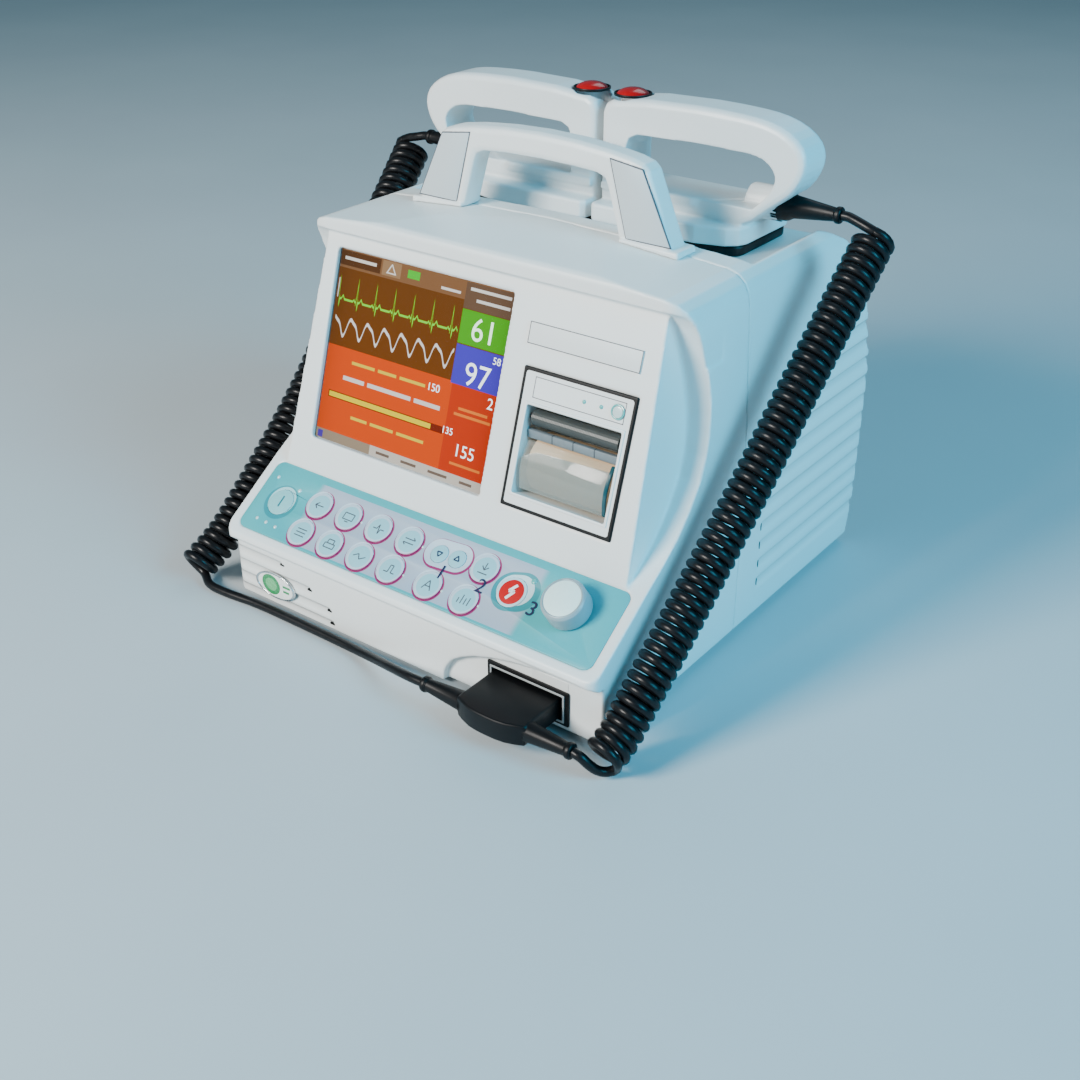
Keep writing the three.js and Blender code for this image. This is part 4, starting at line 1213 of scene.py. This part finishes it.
SYMBOLS = {
    "back_key": [(-3.5, 0, 3.5, 0), (-3.5, 0, -1, 2.2), (-3.5, 0, -1, -2.2)],
    "monitor_key": [(-4, 2.6, 4, 2.6), (4, 2.6, 4, -2), (4, -2, -4, -2), (-4, -2, -4, 2.6),
                    (-1.5, -3.4, 1.5, -3.4)],
    "lead_key": [(-4.5, 0, -1.5, 0), (-1.5, 0, -0.5, 3.2), (-0.5, 3.2, 0.8, -3.2),
                 (0.8, -3.2, 1.6, 0), (1.6, 0, 4.5, 0)],
    "sync_key": [(-4, 1.4, 4, 1.4), (-4, -1.4, 4, -1.4), (4, 1.4, 2.2, 3), (-4, -1.4, -2.2, -3)],
    "energy_down_key": [(-2, 1.2, 2, 1.2), (-2, 1.2, 0, -2), (2, 1.2, 0, -2)],
    "energy_up_key": [(-2, -1.2, 2, -1.2), (-2, -1.2, 0, 2), (2, -1.2, 0, 2)],
    "charge_key": [(0, 4, 0, -1), (0, -1, -2.4, 1.4), (0, -1, 2.4, 1.4), (-3.5, -3.4, 3.5, -3.4)],
    "options_key": [(-4, 2.4, 4, 2.4), (-4, 0, 4, 0), (-4, -2.4, 4, -2.4)],
    "print_key": [(-4, -2.6, 4, -2.6), (-4, -2.6, -4, 0.6), (4, -2.6, 4, 0.6), (-4, 0.6, 4, 0.6),
                  (-2.4, 0.6, -2.4, 3.4), (2.4, 0.6, 2.4, 3.4), (-2.4, 3.4, 2.4, 3.4)],
    "trace_size_key": [(-5, -0.5, -1.5, 1.8), (-1.5, 1.8, 0.5, -1.6), (0.5, -1.6, 4.5, 1)],
    "pacer_key": [(-4.2, -2, -1, -2), (-1, -2, -1, 3), (-1, 3, 1.4, 3), (1.4, 3, 1.4, -2),
                  (1.4, -2, 4.2, -2)],
    "auto_mode_key": [(-3.2, -3, 0, 3.4), (3.2, -3, 0, 3.4), (-1.9, -0.6, 1.9, -0.6)],
    "analyse_key": [(-3.8, -2.8, -3.8, 0.6), (-1.3, -2.8, -1.3, 3.2), (1.3, -2.8, 1.3, 1.6),
                    (3.8, -2.8, 3.8, 2.6)],
    "shock_key": [(1.6, 5.2, -2.0, 0.2), (-2.0, 0.2, 1.8, 0.9), (1.8, 0.9, -1.6, -5.0)],
}


def key_symbol(name, x, v):
    if name not in SYMBOLS:
        return None
    width = 1.9 if name == "shock_key" else 0.9 if name.startswith("energy") else 0.7
    return join([stroke(x + a, v + b, x + c, v + d, width) for a, b, c, d in SYMBOLS[name]])


def symbol_finish(name):
    if name == "shock_key":
        return white_print
    return navy_print if name.startswith("energy") else grey_print


class DEFIB_OT_knob(bpy.types.Operator):
    """Makes the rotary knob and its spindle"""
    bl_idname = "defib.knob"
    bl_label = "Knob"

    def execute(self, context):
        eased("knob", "knob_body", knob_plastic, 0.5, 3, 25, "knob_plastic", 40)
        face = disc(11.9, 1.6, (*KNOB, 13.5), 64, edge=0.3)
        settle(face, "knob_face_disc", DESK, knob_face)
        smooth(face)
        attach(face, "knob_cap", slot="knob_plastic")
        dress("knob_spindle", steel_sheet)
        return {"FINISHED"}


# ---------- screen ----------
class DEFIB_OT_screen(bpy.types.Operator):
    """Makes the lit screen, its readings and the nameplate"""
    bl_idname = "defib.screen"
    bl_label = "Screen"

    def execute(self, context):
        dress("screen_window", clear_window)
        dress("lcd_module", steel_sheet)
        x0, x1, v0, v1 = SCREEN
        picture = rounded_plate(x0 + 0.3, x1 - 0.3, v0 + 0.3, v1 - 0.3, -3.5, -2.9, 1.0)
        attach(settle(picture, "screen_display", FACE, screen_picture), "case")
        readings = (
            ("61", 5.0, 119.0, 14.5, "reading_rate", green_glow),
            ("97", 5.5, 92.0, 14.5, "reading_oxygen", pale_glow),
            ("58", 18.0, 104.5, 4.5, "reading_pulse", pale_glow),
            ("155", 5.5, 45.0, 8.0, "reading_energy", pale_glow),
            ("150", -26.0, 78.0, 5.0, "reading_set_energy", pale_glow),
            ("135", -10.0, 55.0, 4.5, "reading_charge", pale_glow),
            ("2", 18.5, 78.5, 7.0, "reading_count", pale_glow),
        )
        for text, x, v, height, name, finish in readings:
            attach(numeral_print(text, x, v, height, name, FACE, finish, -2.82), "case")
        plate = rounded_plate(39.5, 117.6, 121.2, 134.3, 0.3, 0.9, 0.8, 0.15)
        settle(plate, "nameplate_blank", FACE, label_plastic)
        smooth(plate)
        attach(plate, "case", "nameplate", slot="trim_plastic")
        outline = ring_plate((39.6, 117.5, 121.3, 134.2), (40.1, 117.0, 121.8, 133.7), 0.88, 0.96, 0.8, 0.4)
        attach(settle(outline, "nameplate_outline", FACE, grey_print), "case")
        return {"FINISHED"}


def glow_print(name, colour):
    """Lit figures on the screen."""
    finish = Finish(name)
    wear = finish.noise(finish.place(), 2.0, 2.0)
    tone = finish.mix(wear, tuple(channel * 0.94 for channel in colour), colour)
    return finish.done(Base_Color=tone, Roughness=0.4 + wear * 0.05,
                       Emission_Color=tone, Emission_Strength=0.9)


def pale_glow():
    return glow_print("pale_glow", (0.78, 0.86, 0.86))


def green_glow():
    return glow_print("green_glow", (0.66, 0.92, 0.62))


# ---------- printer ----------
class DEFIB_OT_printer(bpy.types.Operator):
    """Makes the strip printer: frame, roller, tear bar, paper, door and its controls"""
    bl_idname = "defib.printer"
    bl_label = "Printer"

    def execute(self, context):
        melted("printer_frame", "printer_surround", case_plastic, 0.5, 2, 60000, "case_plastic")
        x0, x1, v0, v1 = PRINTER
        border = ring_plate((x0 - 1.3, x1 + 1.3, v0 - 1.3, v1 + 1.3),
                            (x0 + 1.0, x1 - 1.0, v0 + 1.0, v1 - 1.0), -0.8, 1.1, 2.6, 1.6, 0.25)
        attach(settle(border, "printer_border", FACE, black_plastic), "case", slot="black_plastic")
        bx0, bx1, bv0, bv1 = PRINTER_BAY
        lip = ring_plate((bx0 - 1.6, bx1 + 1.6, bv0 - 1.6, bv1 + 1.6),
                         (bx0 + 0.2, bx1 - 0.2, bv0 + 0.2, bv1 - 0.2), 0.3, 1.5, 2.2, 1.2, 0.35)
        smooth(settle(lip, "printer_opening_lip", FACE, case_plastic))
        attach(lip, "case", slot="case_plastic")
        strip = ring_plate((50.0, 113.6, 91.2, 103.8), (50.45, 113.15, 91.65, 103.35), 0.76, 0.9, 0.8, 0.5)
        attach(settle(strip, "printer_strip_outline", FACE, grey_print), "case")
        dress("platen_roller", roller_metal)
        dress("paper_roll", chart_paper)
        bar = block((bx1 - bx0 - 1.0, 5.4, 3.0), ((bx0 + bx1) / 2, 69.6, -5.4), (math.radians(18), 0, 0), 0.5)
        attach(smooth(settle(bar, "tear_bar", FACE, tear_bar_metal)), "case")
        eased("printer_door", "printer_door_pane", smoked_window, 0.4, 2, 30, "window_glass")
        for index, x in enumerate((85.6, 97.4)):
            bead = dome(1.3, 0.8, (x, 97.5, 0.8), 5, 20)
            smooth(settle(bead, f"printer_lamp_{index + 1}", FACE, teal_lamp), 50)
            attach(bead, "case")
        rim = ring_disc(4.5, 3.5, 1.0, (108.9, 97.5, 1.2), 0.2, 48)
        smooth(settle(rim, "feed_button_rim", FACE, teal_lamp))
        attach(rim, "case")
        button = disc(3.4, 1.5, (108.9, 97.5, 0.9), 40, edge=0.3, segments=3)
        smooth(settle(button, "feed_button_cap", FACE, pale_lamp))
        attach(button, "feed_key", "feed_button", slot="trim_plastic")
        return {"FINISHED"}


# ---------- front ----------
class DEFIB_OT_front(bpy.types.Operator):
    """Makes the badge, the paddle socket and its plug"""
    bl_idname = "defib.front"
    bl_label = "Front"

    def execute(self, context):
        plate = disc(1.0, 1.0, (0, 0, 0), 72)
        plate.scale = (16.9, 8.4, 0.9)
        plate.rotation_euler = (math.pi / 2, 0, 0)
        plate.location = (-110, -4.75, 18.6)
        settle(plate, "badge_plate", CASE, badge_face)
        attach(smooth(plate), "case", "badge", slot="trim_plastic")
        hoop = ring_disc(1.0, 0.9, 1.0, (0, 0, 0), 0.0, 96)
        hoop.scale = (18.0, 9.5, 1.5)
        hoop.rotation_euler = (math.pi / 2, 0, 0)
        hoop.location = (-110, -4.9, 18.6)
        settle(hoop, "badge_hoop", CASE, chrome)
        bevel(hoop, 0.35 * MM, 3)
        attach(smooth(hoop), "case", slot="trim_plastic")

        eased("paddle_socket", "socket_frame", black_plastic, 0.3, 2, 30, "black_plastic")
        liner = ring_plate((68.8, 123.2, 9.2, 28.6), (70.0, 122.0, 10.4, 27.4), -0.4, 0.4, 1.0, 0.8, 0.15)
        liner.rotation_euler = (math.pi / 2, 0, 0)
        liner.location = (96.0, -1.3, 18.9)
        attach(settle(liner, "socket_liner_ring", CASE, socket_liner), "case")
        label = rounded_plate(98.5, 125, 31.8, 37.2, -0.2, 0.25, 0.6, 0.1)
        label.rotation_euler = (math.pi / 2, 0, 0)
        label.location = (111.75, 0.5, 34.5)
        attach(settle(label, "socket_label_blank", CASE, label_plastic), "case")
        eased("paddle_plug", "paddle_plug_body", boot_rubber, 0.7, 3, 25, "rubber", 45)
        return {"FINISHED"}


# ---------- back and inside ----------
class DEFIB_OT_back(bpy.types.Operator):
    """Dresses the mains inlet, the patient sockets and what the case holds"""
    bl_idname = "defib.back"
    bl_label = "Back and inside"

    def execute(self, context):
        eased("mains_inlet", "mains_inlet_body", black_plastic, 0.4, 2, 30, "black_plastic")
        eased("patient_sockets", "patient_socket_plate", trim_plastic, 0.4, 2, 30, "trim_plastic")
        dress("main_board", green_board)
        dress("shock_capacitor", steel_sheet)
        dress("power_supply", steel_sheet)
        dress("battery_pack", battery_wrap)
        pins = [block((2.0, 14.0, 6.0), (-94 + offset, 298, 45), (0, 0, 0), 0.3) for offset in (-7, 0, 7)]
        attach(settle(join(pins), "inlet_pins", CASE, chrome), "case")
        return {"FINISHED"}


# ---------- panel and registration ----------
STEPS = (
    DEFIB_OT_stage, DEFIB_OT_front, DEFIB_OT_cords, DEFIB_OT_case, DEFIB_OT_handle, DEFIB_OT_paddles,
    DEFIB_OT_keypad, DEFIB_OT_knob, DEFIB_OT_screen, DEFIB_OT_printer, DEFIB_OT_back,
)


class DEFIB_PT_panel(bpy.types.Panel):
    """Sidebar panel with the settings and the steps"""
    bl_label = "Defibrillator"
    bl_idname = "DEFIB_PT_panel"
    bl_space_type = "VIEW_3D"
    bl_region_type = "UI"
    bl_category = "Defibrillator"

    def draw(self, context):
        for name in DefibrillatorSettings.__annotations__:
            self.layout.prop(settings(), name)
        for step in STEPS:
            self.layout.operator(step.bl_idname)


CLASSES = (DefibrillatorSettings, *STEPS, DEFIB_PT_panel)


def register():
    for item in CLASSES:
        bpy.utils.register_class(item)
    bpy.types.Scene.defibrillator = bpy.props.PointerProperty(type=DefibrillatorSettings)


def unregister():
    del bpy.types.Scene.defibrillator
    for item in reversed(CLASSES):
        bpy.utils.unregister_class(item)


def main():
    register()
    for step in STEPS:
        group, name = step.bl_idname.split(".")
        getattr(getattr(bpy.ops, group), name)()


if __name__ == "__main__":
    main()
